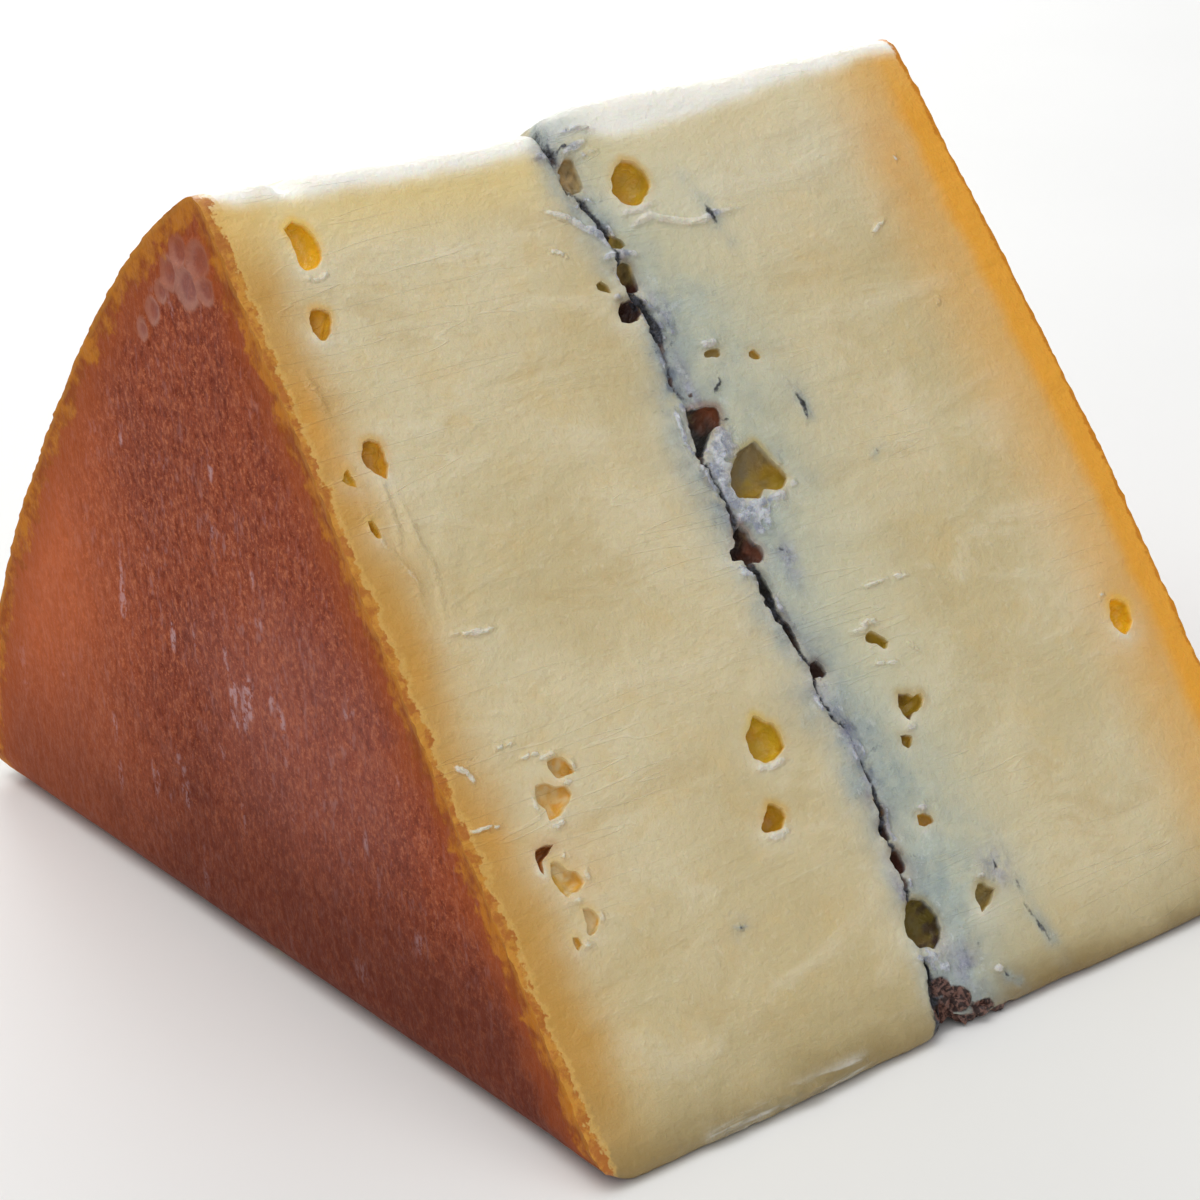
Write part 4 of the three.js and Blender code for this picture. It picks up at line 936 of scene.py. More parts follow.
# torn, clotted rind where the crease runs out at the foot of the front cut
crumb = np.zeros(NV)
for cx_, cs_, rx, rs in CRUMBS:
    crumb = np.maximum(crumb, np.exp(-np.hypot((FX - cx_) / rx, (SS - cs_) / rs) ** 2 * 0.8) * front)
crumb = np.maximum(crumb, np.exp(-((FX - 37.6) / 2.8) ** 2) * smooth(CUT - 0.8, CUT + 0.2, SS) * (1 - smooth(CUT + 3, CUT + 7, SS)) * (CAP == 0))
cg = smooth(0.25, 0.7, crumb + 0.25 * noise3(pf, 0.9, 50)) * (SS < CUT + 0.5)
rel += cg * (0.75 * np.abs(noise3(pf, 1.05, 51)) + 0.35 * np.abs(noise3(pf, 2.3, 52)) - 0.30)

# sealed smear of paste along the foot of the left half
film = [(9.00, 83.62), (11.58, 83.79), (14.85, 83.87), (19.02, 83.68), (23.23, 83.57), (27.55, 83.38)]
d_, f_ = seg_dist(FX, SS, film)
smear = np.exp(-(d_ / 0.75) ** 2) * smooth(0.0, 0.15, f_) * (1 - smooth(0.85, 1.0, f_)) * front
rel += smear * (0.20 + 0.30 * np.abs(noise3(np.c_[x * 0.5 + SS * 0.5, SS * 1.6, zv * 0], 1.0, 53)))
# nick in the tip, left of middle, where an eye was cut through
nick = np.exp(-((FX - 9.3) / 1.1) ** 2 - ((VT - (T_FA0 + T_FA1) / 2) / 1.6) ** 2) * (CAP == 0)
rel -= 0.95 * nick
# tip is soft and slightly uneven
tipw = np.exp(-((VT - (T_FA0 + T_FA1) / 2) / 3.0) ** 2) * (CAP == 0)
rel += tipw * 0.22 * fbm(pf, 0.22, 3, 55)
amber = np.zeros(NV)
for ax_, as_, rx, rs, w in AMBER_AT:
    amber = np.maximum(amber, w * np.exp(-((FX - ax_) / rx) ** 2 - ((SS - as_) / rs) ** 2) * front)
amber *= np.clip(0.8 + 0.6 * fbm(pf, 0.35, 3, 58), 0.2, 1.3)

# rind: matted, with fine upright creases and pits
rind = (CAP != 0)
heel = (CAP == 0) & ~cutface
q = np.c_[x * 1.0, yv * 1.0, zv * 0.28]
streak = fbm(q, 0.85, 3, 61)
pits_ = np.clip(noise3(np.c_[x, yv * 1.0, zv * 0.45], 1.25, 62) - 0.35, 0, 1)
rindrel = 0.075 * streak + 0.05 * fbm(pf, 1.3, 2, 63) - 0.16 * pits_ + 0.28 * fbm(pf, 0.06, 3, 64)
lf = CAP == -1
blister = np.zeros(NV)
for by, bzv, r in ((0.3, 62.2, 1.7), (2.3, 59.6, 1.8), (5.2, 60.2, 1.5), (-0.6, 60.0, 1.3), (3.4, 62.4, 1.4), (8.6, 56.3, 1.2), (10.8, 54.2, 1.0), (6.9, 58.3, 1.0)):
    d = np.hypot(yv - by, zv - bzv) / r
    blister = np.maximum(blister, np.where(lf, np.exp(-(d) ** 4), 0))
    rindrel = rindrel + np.where(lf, 0.20 * np.exp(-((d - 1.0) / 0.22) ** 2) - 0.10 * np.exp(-(d / 0.8) ** 2), 0)
rel += np.where(rind, rindrel, 0)
rel += np.where(heel, 0.10 * fbm(pf, 0.25, 3, 65), 0) * 0.6

# distance of rind points to the nearest cut edge, and of cut points to the rind
ringL = np.c_[P[:nL - 1][:, 1], P[:nL - 1][:, 2]]
cutring = ringL[(t_edge[:-1] > T_RIND_BACK) & (t_edge[:-1] < T_RIND_FRONT)]
rimd = np.full(NV, 9.0)
ci = np.where(rind)[0]
dd, _ = seg_dist(yv[ci], zv[ci], cutring)
rimd[ci] = dd
rimd[on_edge] = 0.0
rimg = np.exp(-(rimd / 0.8) ** 2)
gran = np.abs(noise3(pf, 0.8, 71)) * 0.22 + 0.10 * noise3(pf, 1.9, 72)
rel += np.where(rind, rimg * (gran + 0.05), 0)

V = V0 + VN * rel[:, None]
# border points also take the rind's own relief
be = np.where(on_edge)[0]
be = be[(be % nL) != nL - 1]
sgn = np.where(be < nL, -1.0, 1.0)
onc = (VT[be] > T_RIND_BACK) & (VT[be] < T_RIND_FRONT)
V[be, 0] += sgn * (0.28 * fbm(pf[be], 0.06, 3, 64) + 0.075 * streak[be] + np.where(onc, gran[be] + 0.05, 0.05))

# sag of the tip edge at the ash line, on both sides of it
xa = ash_x(np.full(NV, 1.5))
dx = V[:, 0] - xa
sagL = 1.35 * smooth(-33, -3, dx) * (dx < 0)
sagR = (1.25 * np.exp(-np.clip(dx, 0, 99) / 2.1) - 0.42 * np.exp(-((dx - 7) / 8) ** 2)) * (dx >= 0)
notch = 0.55 * np.exp(-(dx / 0.5) ** 2)
V[:, 2] -= (sagL + sagR + notch) * smooth(56, 68, V0[:, 2])

# crease along the rim side and up round the foot: sharp on the left, easy on the right
xc = -3.1 + 0.35 * np.sin(yv / 13.0) + 0.2 * noise3(np.c_[yv * 0, yv, yv * 0], 0.2, 81)
dx = V[:, 0] - xc
cre = 1.25 * np.where(dx < 0, np.exp(-(dx / 0.45) ** 2), np.exp(-(dx / 1.6) ** 2))
lowz = 1 - smooth(0.6, 4.5, V0[:, 2])
inward = np.zeros((NV, 3))
inward[:, 2] = 1.0
ft = front & (SS > 78)
inward[ft] = -VN[ft] * 0.7 + np.array([0, 0.1, 0.5])
V += inward * (cre * lowz * (CAP == 0))[:, None]

# round the rind faces over into the rim side
for side in (-1, 1):
    hw = half_left(V0[:, 2]) if side < 0 else half_right(V0[:, 2])
    cxr = hw - R_RIM
    a_ = (side * V[:, 0] - cxr) / R_RIM
    b_ = (R_RIM - V[:, 2]) / R_RIM
    m = (a_ > 0) & (b_ > 0) & (V0[:, 2] < R_RIM + 0.5)
    aa, bb = np.clip(a_, 0, 1.15), np.clip(b_, 0, 1.0)
    na = aa * np.sqrt(np.clip(1 - bb * bb / 2, 0, 1))
    nb = bb * np.sqrt(np.clip(1 - np.clip(aa, 0, 1) ** 2 / 2, 0, 1))
    newx = side * (cxr + na * R_RIM)
    newz = R_RIM - nb * R_RIM
    df_ = (V0[:, 1] - (FOOT_Y + V0[:, 2] * (TIP_Y - FOOT_Y) / TIP_Z))  # how far behind the front cut
    wgt = np.clip(1 - df_ / 6.0, 0, 1)
    dy = (newz - V[:, 2]) * ((TIP_Y - FOOT_Y) / TIP_Z) * wgt
    V[m, 1] += dy[m]
    V[m, 0] = newx[m]
    V[m, 2] = newz[m]

# the heel stands on the floor: no point goes below it; a small lift outside the contact is worked out but not applied
flat = (CAP == 0) & ~cutface & (V0[:, 2] < 0.02)
lift = np.where(flat, np.clip(0.05 + 0.05 * noise3(pf, 0.2, 91), 0, 0.12), 0)
V[:, 2] = np.maximum(V[:, 2], 0.0)

# ---- attributes for the finishes -------------------------------------------------------------
eL = FX - (HALF - half_left(zv))
eR = half_right(zv) - x
foot = np.where(front, CUT - SS, np.where(BACK, zv * 1.1, 0))
tipd = np.where(front, SS, np.where(BACK, np.clip((T_FA1 - VT) - 1.0, 0, 99), 99.0))
tipd = np.where(CAP == 0, np.abs(VT - (T_FA0 + T_FA1) / 2), 99.0)
tipd = tipd + 1.0 * smooth(18, 38, x - xa) - 1.1 * np.exp(-((x - xa - 8) / 8.0) ** 2) * (x > xa) * front
lil = np.zeros(NV)
for lx, ls, rx, rs in LILAC:
    lil = np.maximum(lil, np.exp(-((FX - lx) / rx) ** 2 - ((SS - ls) / rs) ** 2))
lil = np.where(front, lil, 0)
lil = np.where(BACK, np.clip(noise3(pf, 0.25, 95) - 0.2, 0, 1) * np.exp(-(dash / 2.5) ** 2) * 1.6, lil)
gdark = np.where(cutface, np.exp(-(dn / (gw * 1.25)) ** 2) * np.clip(gd * open_ * 1.5, 0, 1), 0)
gdark = np.maximum(gdark * np.where(front, 1, 0.85), veind)

names = {
    "ash": np.where(cutface, dash, 99.0), "el": eL, "er": eR, "foot": foot, "tipd": tipd, "bloom": np.clip(bloomw, 0, 1.2),
    "lilac": lil, "blue": np.clip(blue, 0, 1.2), "dark": gdark, "white": white, "lip": lip, "pd": DF, "rimd": rimd, "crumb": crumb, "blister": blister,
    "smear": smear, "under": under, "amber": amber,
}

me = bpy.data.meshes.new("cheese_wedge_fine")
used = np.zeros(NV, bool)
used[F.ravel()] = True
idx = np.cumsum(used) - 1
V2 = V[used] * 0.001
F2 = idx[F]
me.vertices.add(len(V2))
me.vertices.foreach_set("co", V2.ravel())
me.loops.add(len(F2) * 3)
me.loops.foreach_set("vertex_index", F2.ravel().astype(np.int32))
me.polygons.add(len(F2))
me.polygons.foreach_set("loop_start", np.arange(0, len(F2) * 3, 3, dtype=np.int32))
me.polygons.foreach_set("material_index", FM.astype(np.int32))
me.update(calc_edges=True)
for k, v in names.items():
    at = me.attributes.new(k, 'FLOAT', 'POINT')
    at.data.foreach_set("value", np.asarray(v, np.float32)[used])
at = me.color_attributes.new("pit", 'FLOAT_COLOR', 'POINT')
at.data.foreach_set("color", PC[used].astype(np.float32).ravel())

# own unwrap, so that the front cut gets most of the baked texture
uvl = me.uv_layers.new(name="OFBake")
capf = CAP[F]
nF = len(F)
fside = np.zeros(nF, int)
fside[:] = 0
cap_any = np.where((capf == -1).any(1), -1, np.where((capf == 1).any(1), 1, 0))
tri_t = VT[F]
is_front_f = (cap_any == 0) & (tri_t.mean(1) >= (T_FA0 + T_FA1) / 2)
mid_t = tri_t.mean(1)
is_front_f = (cap_any == 0) & (mid_t >= (T_FA0 + T_FA1) / 2) & (mid_t <= T_FD1)
is_back_f = (cap_any == 0) & (mid_t >= T_FE0) & ~is_front_f & (mid_t < (T_FA0 + T_FA1) / 2)
is_base_f = (cap_any == 0) & ~is_front_f & ~is_back_f
# faces made by cap() come last, even where all three corners lie on the border
n_left = len(faces[-2])
n_right = len(faces[-1])
for arr in (is_front_f, is_back_f, is_base_f):
    arr[nF - n_left - n_right:] = False
left_f = np.zeros(nF, bool)
left_f[nF - n_left - n_right:nF - n_right] = True
right_f = np.zeros(nF, bool)
right_f[nF - n_right:] = True
lv = F.ravel()
luv = np.zeros((nF * 3, 2))


def lay(mask, uu, vv):
    m = np.repeat(mask, 3)
    luv[m, 0] = uu[m]
    luv[m, 1] = vv[m]


lT, lU = VT[lv], VU[lv]
tm = (T_FA0 + T_FA1) / 2
lay(is_front_f, 0.005 + (lU + HALF) / 76 * 0.60, 0.005 + (T_FD1 - lT) / (T_FD1 - tm) * 0.675)
lay(is_back_f, 0.625 + (lU + HALF) / 76 * 0.36, 0.005 + (lT - T_FE0) / (tm - T_FE0) * 0.425)
# the base run passes t = 0: put it in one strip
lTb = np.where(lT > TL / 2, lT - TL, lT)
# welded points carry t = 0, which is right for both sides
lay(is_base_f, 0.625 + (lTb - (T_FD1 - TL)) / (T_FE0 - (T_FD1 - TL)) * 0.36, 0.45 + (lU + HALF) / 76 * 0.27)
yy_, zz_ = V0[lv, 1], V0[lv, 2]
lay(left_f, 0.005 + (yy_ - FOOT_Y) / 102 * 0.42, 0.695 + zz_ / 69 * 0.29)
lay(right_f, 0.445 + (yy_ - FOOT_Y) / 102 * 0.36, 0.735 + zz_ / 69 * 0.25)
uvl.data.foreach_set("uv", luv.astype(np.float32).ravel())

me.validate()
me.update()
me.shade_smooth()
me.set_sharp_from_angle(angle=math.radians(48))
wedge = bpy.data.objects.new("cheese_wedge_fine", me)
bpy.context.scene.collection.objects.link(wedge)
print("mesh", len(V2), "points", len(F2), "triangles")


# =====================================================================================
# Finishes
# =====================================================================================
def lin(r, g, b):
    def f(c):
        c /= 255.0
        return c / 12.92 if c <= 0.04045 else ((c + 0.055) / 1.055) ** 2.4
    return (f(r), f(g), f(b), 1.0)


class G:
    def __init__(self, name):
        self.m = bpy.data.materials.new(name)
        self.m.use_nodes = True
        self.t = self.m.node_tree
        self.t.nodes.clear()
        self.out = self.t.nodes.new("ShaderNodeOutputMaterial")
        self.bsdf = self.t.nodes.new("ShaderNodeBsdfPrincipled")
        self.t.links.new(self.bsdf.outputs[0], self.out.inputs[0])
        self.coord = self.t.nodes.new("ShaderNodeTexCoord").outputs["Object"]

    def link(self, a, b):
        if isinstance(a, (int, float)):
            b.default_value = a
        elif isinstance(a, (tuple, list)):
            b.default_value = a
        else:
            self.t.links.new(a, b)

    def attr(self, name):
        n = self.t.nodes.new("ShaderNodeAttribute")
        n.attribute_name = name
        return n.outputs["Fac"]

    def attr_col(self, name):
        n = self.t.nodes.new("ShaderNodeAttribute")
        n.attribute_name = name
        return n.outputs["Color"], n.outputs["Alpha"]

    def math(self, op, a, b=0.0, c=None, clamp=False):
        n = self.t.nodes.new("ShaderNodeMath")
        n.operation = op
        n.use_clamp = clamp
        self.link(a, n.inputs[0])
        self.link(b, n.inputs[1])
        if c is not None:
            self.link(c, n.inputs[2])
        return n.outputs[0]

    def scale(self, sx, sy, sz):
        n = self.t.nodes.new("ShaderNodeMapping")
        n.inputs["Scale"].default_value = (sx, sy, sz)
        self.link(self.coord, n.inputs["Vector"])
        return n.outputs[0]

    def noise(self, scale, detail=3.0, rough=0.55, vec=None, dist=0.0):
        n = self.t.nodes.new("ShaderNodeTexNoise")
        n.inputs["Scale"].default_value = scale
        n.inputs["Detail"].default_value = detail
        n.inputs["Roughness"].default_value = rough
        n.inputs["Distortion"].default_value = dist
        self.link(vec if vec is not None else self.coord, n.inputs["Vector"])
        return n.outputs["Fac"]

    def voronoi(self, scale, vec=None, feature='F1', rand=1.0):
        n = self.t.nodes.new("ShaderNodeTexVoronoi")
        n.feature = feature
        n.inputs["Scale"].default_value = scale
        n.inputs["Randomness"].default_value = rand
        self.link(vec if vec is not None else self.coord, n.inputs["Vector"])
        return n.outputs["Distance"]

    def step(self, v, a, b, lo=0.0, hi=1.0):
        n = self.t.nodes.new("ShaderNodeMapRange")
        n.interpolation_type = 'SMOOTHSTEP'
        self.link(v, n.inputs["Value"])
        n.inputs["From Min"].default_value = a
        n.inputs["From Max"].default_value = b
        n.inputs["To Min"].default_value = lo
        n.inputs["To Max"].default_value = hi
        return n.outputs["Result"]

    def mix(self, f, a, b, mode='MIX'):
        n = self.t.nodes.new("ShaderNodeMix")
        n.data_type = 'RGBA'
        n.blend_type = mode
        n.clamp_factor = True
        self.link(f, n.inputs["Factor"])
        self.link(a, n.inputs[6])
        self.link(b, n.inputs[7])
        return n.outputs[2]

    def bump(self, h, strength, dist, normal=None):
        n = self.t.nodes.new("ShaderNodeBump")
        n.inputs["Strength"].default_value = strength
        n.inputs["Distance"].default_value = dist
        self.link(h, n.inputs["Height"])
        if normal is not None:
            self.link(normal, n.inputs["Normal"])
        return n.outputs["Normal"]


def paste_material():
    g = G("cheese_paste")
    b = g.bsdf
    el, er, foot, tip = g.attr("el"), g.attr("er"), g.attr("foot"), g.attr("tipd")
    ash = g.attr("ash")
    c = lambda v, k: g.math('MULTIPLY', g.math('SUBTRACT', v, 0.5), k)
    big = g.noise(55, 3, 0.5)
    mid = g.noise(240, 4, 0.6)
    fine = g.noise(1600, 3, 0.6)
    speck = g.noise(1150, 2, 0.5)
    an = g.noise(700, 4, 0.7)
    an2 = g.noise(2600, 2, 0.6)
    smear = g.noise(130, 5, 0.6, g.scale(0.7, 1.7, 1.5), 0.6)
    cream, cream2, warm = lin(218, 204, 166), lin(207, 190, 146), lin(216, 190, 134)
    col = g.mix(g.step(big, 0.36, 0.66), cream2, cream)
    col = g.mix(g.math('MULTIPLY', g.step(mid, 0.48, 0.74), 0.45), col, warm)
    col = g.mix(g.math('MULTIPLY', g.step(smear, 0.52, 0.68), 0.40), col, lin(228, 217, 186))
    col = g.mix(g.math('MULTIPLY', g.step(smear, 0.46, 0.32), 0.40), col, lin(198, 174, 124))
    col = g.mix(g.math('MULTIPLY', g.step(speck, 0.60, 0.72), 0.16), col, lin(232, 222, 192))
    col = g.mix(g.math('MULTIPLY', g.step(speck, 0.40, 0.28), 0.20), col, lin(192, 168, 118))
    scr = g.noise(300, 2, 0.5, g.scale(0.12, 1.6, 1.3), 0.3)
    scr_w = g.math('MULTIPLY', g.step(g.math('ABSOLUTE', g.math('SUBTRACT', scr, 0.5)), 0.010, 0.002), g.step(big, 0.52, 0.64))
    col = g.mix(g.math('MULTIPLY', scr_w, 0.30), col, lin(232, 222, 192))
    # a cool, greenish cast far out into the right half
    wide = g.math('MULTIPLY', g.step(ash, 20.0, 2.0), g.step(ash, -0.5, 0.5))
    col = g.mix(g.math('MULTIPLY', wide, 0.62), col, lin(200, 202, 176))
    # paler towards the tip of the right half
    pale = g.math('MULTIPLY', g.step(tip, 22.0, 3.0), g.step(ash, 3.0, 11.0))
    col = g.mix(g.math('MULTIPLY', pale, 0.42), col, lin(230, 226, 204))
    # yellower under the rinds: a soft warm band on the left; on the right a deep orange band, partly the paste's own
    # colour under the rind, partly painted glow of light shining through from behind
    elw = g.math('ADD', el, c(big, 6.0))
    elw = g.math('ADD', elw, c(mid, 3.0))
    col = g.mix(g.math('MULTIPLY', g.step(elw, 9.5, 2.2), 0.58), col, lin(204, 162, 88))
    col = g.mix(g.math('MULTIPLY', g.step(elw, 6.5, 1.0), 0.80), col, lin(198, 146, 58))
    right_band_and_glow = g.math('ADD', g.math('ADD', er, c(big, 3.5)), c(mid, 1.6))
    col = g.mix(g.math('MULTIPLY', g.step(right_band_and_glow, 14.0, 4.0), 0.70), col, lin(230, 176, 92))
    col = g.mix(g.math('MULTIPLY', g.step(right_band_and_glow, 4.4, 1.8), 0.96), col, lin(238, 168, 52))
    # darker, dull olive tan towards the foot: partly the drier paste near the rind, partly painted shade where the face
    # falls away at the foot
    foot_tone_and_shade = g.math('ADD', g.math('ADD', foot, c(big, 5.0)), c(mid, 2.5))
    col = g.mix(g.math('MULTIPLY', g.step(foot_tone_and_shade, 11.0, 1.0), 0.62), col, lin(170, 152, 106))
    foot_edge_tone_and_shade = g.math('MULTIPLY', g.step(foot_tone_and_shade, 4.5, 0.3), g.step(ash, 0.0, 4.0, 0.70, 0.98))
    col = g.mix(foot_edge_tone_and_shade, col, lin(134, 112, 66))
    am = g.math('MULTIPLY', g.attr("amber"), g.step(mid, 0.30, 0.62, 0.55, 1.1), clamp=True)
    col = g.mix(am, col, lin(220, 154, 50))
    # warm band at the tip, and a painted highlight: the near-white strip where the rounded tip catches the light
    tq = g.math('ADD', tip, c(mid, 2.5))
    col = g.mix(g.math('MULTIPLY', g.step(tq, 9.5, 2.8), g.step(ash, 0.0, 6.0, 0.60, 0.24)), col, lin(238, 212, 142))
    tip_highlight = g.math('ADD', g.math('ADD', tip, c(mid, 1.2)), c(big, 1.6))
    tip_highlight = g.math('ADD', tip_highlight, c(g.noise(90, 3, 0.6), 1.6))
    tip_highlight = g.math('ADD', tip_highlight, g.math('MULTIPLY', g.attr("amber"), 1.6))
    tip_highlight = g.math('SUBTRACT', tip_highlight, g.math('MULTIPLY', g.step(ash, 2.0, 8.0), 0.7))
    # painted highlight along the tip
    col = g.mix(g.math('MULTIPLY', g.step(tip_highlight, 3.3, 1.9), 0.45), col, lin(246, 238, 212))
    col = g.mix(g.math('MULTIPLY', g.step(tip_highlight, 2.5, 1.2), g.step(mid, 0.30, 0.50, 0.80, 1.0)), col, lin(251, 248, 237))
    # bloom of mould either side of the ash: pale grey-green spread, blue-grey beside the seam, lilac knots
    bl, blue = g.attr("bloom"), g.attr("blue")
    bn = g.noise(300, 5, 0.65)
    bw = g.math('MULTIPLY', bl, g.step(bn, 0.25, 0.62, 0.60, 1.25), clamp=True)
    bcol = g.mix(g.step(g.noise(420, 3, 0.6), 0.4, 0.62), lin(180, 192, 184), lin(158, 172, 170))
    col = g.mix(g.math('MULTIPLY', bw, 0.88, clamp=True), col, bcol)
    lw = g.math('MULTIPLY', g.attr("lilac"), g.step(g.noise(480, 4, 0.7), 0.32, 0.60), clamp=True)
    uw = g.math('MULTIPLY', blue, g.step(g.math('ADD', bn, c(an, 0.5)), 0.28, 0.60, 0.45, 1.15), clamp=True)
    ucol = g.mix(g.step(an, 0.38, 0.62), lin(124, 134, 142), lin(160, 170, 170))
    ucol = g.mix(g.math('MULTIPLY', g.step(blue, 0.60, 1.0), 0.75), ucol, lin(88, 96, 112))
    col = g.mix(g.math('MULTIPLY', uw, 1.0, clamp=True), col, ucol)
    col = g.mix(g.math('MULTIPLY', lw, 0.80), col, g.mix(g.step(an, 0.35, 0.6), lin(112, 112, 138), lin(166, 166, 184)))
    spots = g.step(g.noise(850, 3, 0.7), 0.62, 0.72)
    col = g.mix(g.math('MULTIPLY', spots, g.math('MULTIPLY', g.math('ADD', blue, g.math('MULTIPLY', bl, 0.25)), 0.8), clamp=True), col, lin(84, 94, 108))
    fl = g.step(g.noise(640, 4, 0.75), 0.58, 0.68)
    col = g.mix(g.math('MULTIPLY', fl, g.math('MULTIPLY', bl, 0.50), clamp=True), col, lin(214, 220, 218))
    # painted highlight: pale glow beside the lower side of each eye
    col = g.mix(g.math('MULTIPLY', g.attr("under"), 0.42), col, lin(228, 222, 198))
    # painted highlight on the lower lips of the eyes, and pale raised curd
    lip_highlight = g.math('MULTIPLY', g.attr("lip"), g.step(an, 0.34, 0.6, 0.35, 1.0))
    col = g.mix(g.math('MULTIPLY', lip_highlight, 0.72), col, lin(236, 230, 210))
    wh = g.math('ADD', g.attr("white"), c(an, 0.55))
    wcol = g.mix(g.math('ADD', g.math('MULTIPLY', blue, 1.5), g.math('MULTIPLY', bl, 1.1), clamp=True), lin(232, 226, 208), g.mix(g.step(an, 0.42, 0.6), lin(156, 162, 178), lin(214, 217, 224)))
    col = g.mix(g.math('MULTIPLY', g.step(wh, 0.34, 0.62), 0.88), col, wcol)
    # smear of paste along the foot: grey-olive and pale grey streaks, partly the film's own colour, partly painted
    # highlight on its glossy surface
    strk = g.noise(620, 3, 0.6, g.scale(0.22, 1.2, 1.2), 0.4)
    smear_tone_and_highlight = g.math('MULTIPLY', g.attr("smear"), g.step(strk, 0.36, 0.60, 0.30, 1.0), clamp=True)
    col = g.mix(g.math('MULTIPLY', smear_tone_and_highlight, 0.78), col, g.mix(g.step(strk, 0.46, 0.62), lin(146, 140, 116), lin(206, 206, 200)))
    # the hollows
    pc, pa = g.attr_col("pit")
    pm = g.mix(g.math('MULTIPLY', g.step(mid, 0.40, 0.70), 0.55), pc, g.mix(1.0, pc, lin(255, 214, 120), 'MULTIPLY'))
    pm = g.mix(g.math('MULTIPLY', g.step(an, 0.55, 0.70), 0.25), pm, g.mix(0.5, pm, lin(250, 224, 150)))
    col = g.mix(pa, col, pm)
    # ash in the seam: noise-broken dark line, denser in the groove
    dk = g.attr("dark")
    dw = g.step(g.math('ADD', dk, c(an, 0.9)), 0.26, 0.58)
    dcol = g.mix(g.step(an2, 0.42, 0.62), lin(30, 30, 34), lin(74, 76, 86))
    dcol = g.mix(g.math('MULTIPLY', g.step(g.noise(380, 2, 0.5), 0.55, 0.66), 0.7), dcol, lin(92, 62, 46))
    col = g.mix(g.math('MULTIPLY', dw, 0.95), col, dcol)
    # clotted red-brown rind torn into the foot of the seam
    cr = g.math('ADD', g.attr("crumb"), c(an, 0.7))
    ccol = g.mix(g.step(an2, 0.42, 0.62), lin(44, 24, 20), lin(116, 84, 74))
    col = g.mix(g.step(cr, 0.34, 0.56), col, ccol)
    # ochre skin right at the rind
    ew = g.math('ADD', el, g.math('ADD', c(g.noise(520, 3, 0.7), 2.6), c(an2, 0.8)))
    col = g.mix(g.math('MULTIPLY', g.step(ew, 1.3, 0.75), 0.55), col, lin(222, 180, 100))
    col = g.mix(g.math('MULTIPLY', g.step(ew, 0.72, 0.50), 0.92), col, g.mix(g.step(an, 0.40, 0.60), lin(176, 102, 30), lin(204, 142, 50)))
    ew = g.math('ADD', er, c(an, 1.3))
    col = g.mix(g.step(ew, 0.45, 0.15), col, lin(206, 132, 26))
    g.link(col, b.inputs["Base Color"])
    # wet sheen in hollows, drier bloom
    rr = g.step(mid, 0.3, 0.7, 0.34, 0.50)
    rr = g.math('ADD', rr, g.math('MULTIPLY', bw, 0.16))
    rr = g.math('SUBTRACT', rr, g.math('MULTIPLY', pa, 0.10), clamp=True)
    rr = g.math('SUBTRACT', rr, g.math('MULTIPLY', g.attr("smear"), 0.34), clamp=True)
    g.link(rr, b.inputs["Roughness"])
    b.inputs["Subsurface Weight"].default_value = 0.25
    b.inputs["Subsurface Radius"].default_value = (1.0, 0.55, 0.22)
    b.inputs["Subsurface Scale"].default_value = 0.0014
    b.inputs["Specular IOR Level"].default_value = 0.40
    h = g.math('ADD', g.math('MULTIPLY', fine, 0.5), g.math('MULTIPLY', g.noise(620, 4, 0.65), 1.1))
    h = g.math('ADD', h, g.math('MULTIPLY', smear, 2.2))
    h = g.math('ADD', h, g.math('MULTIPLY', g.step(speck, 0.60, 0.74), 0.12))
    h = g.math('ADD', h, g.math('MULTIPLY', scr_w, 0.25))
    rough_h = g.math('MULTIPLY', g.noise(1500, 4, 0.75), g.math('ADD', g.math('MULTIPLY', bl, 1.0), g.math('ADD', g.math('MULTIPLY', dk, 3.0), g.math('MULTIPLY', g.attr("white"), 3.0))))
    h = g.math('ADD', h, rough_h)
    g.link(g.bump(h, 0.7, 0.00025), b.inputs["Normal"])
    return g.m


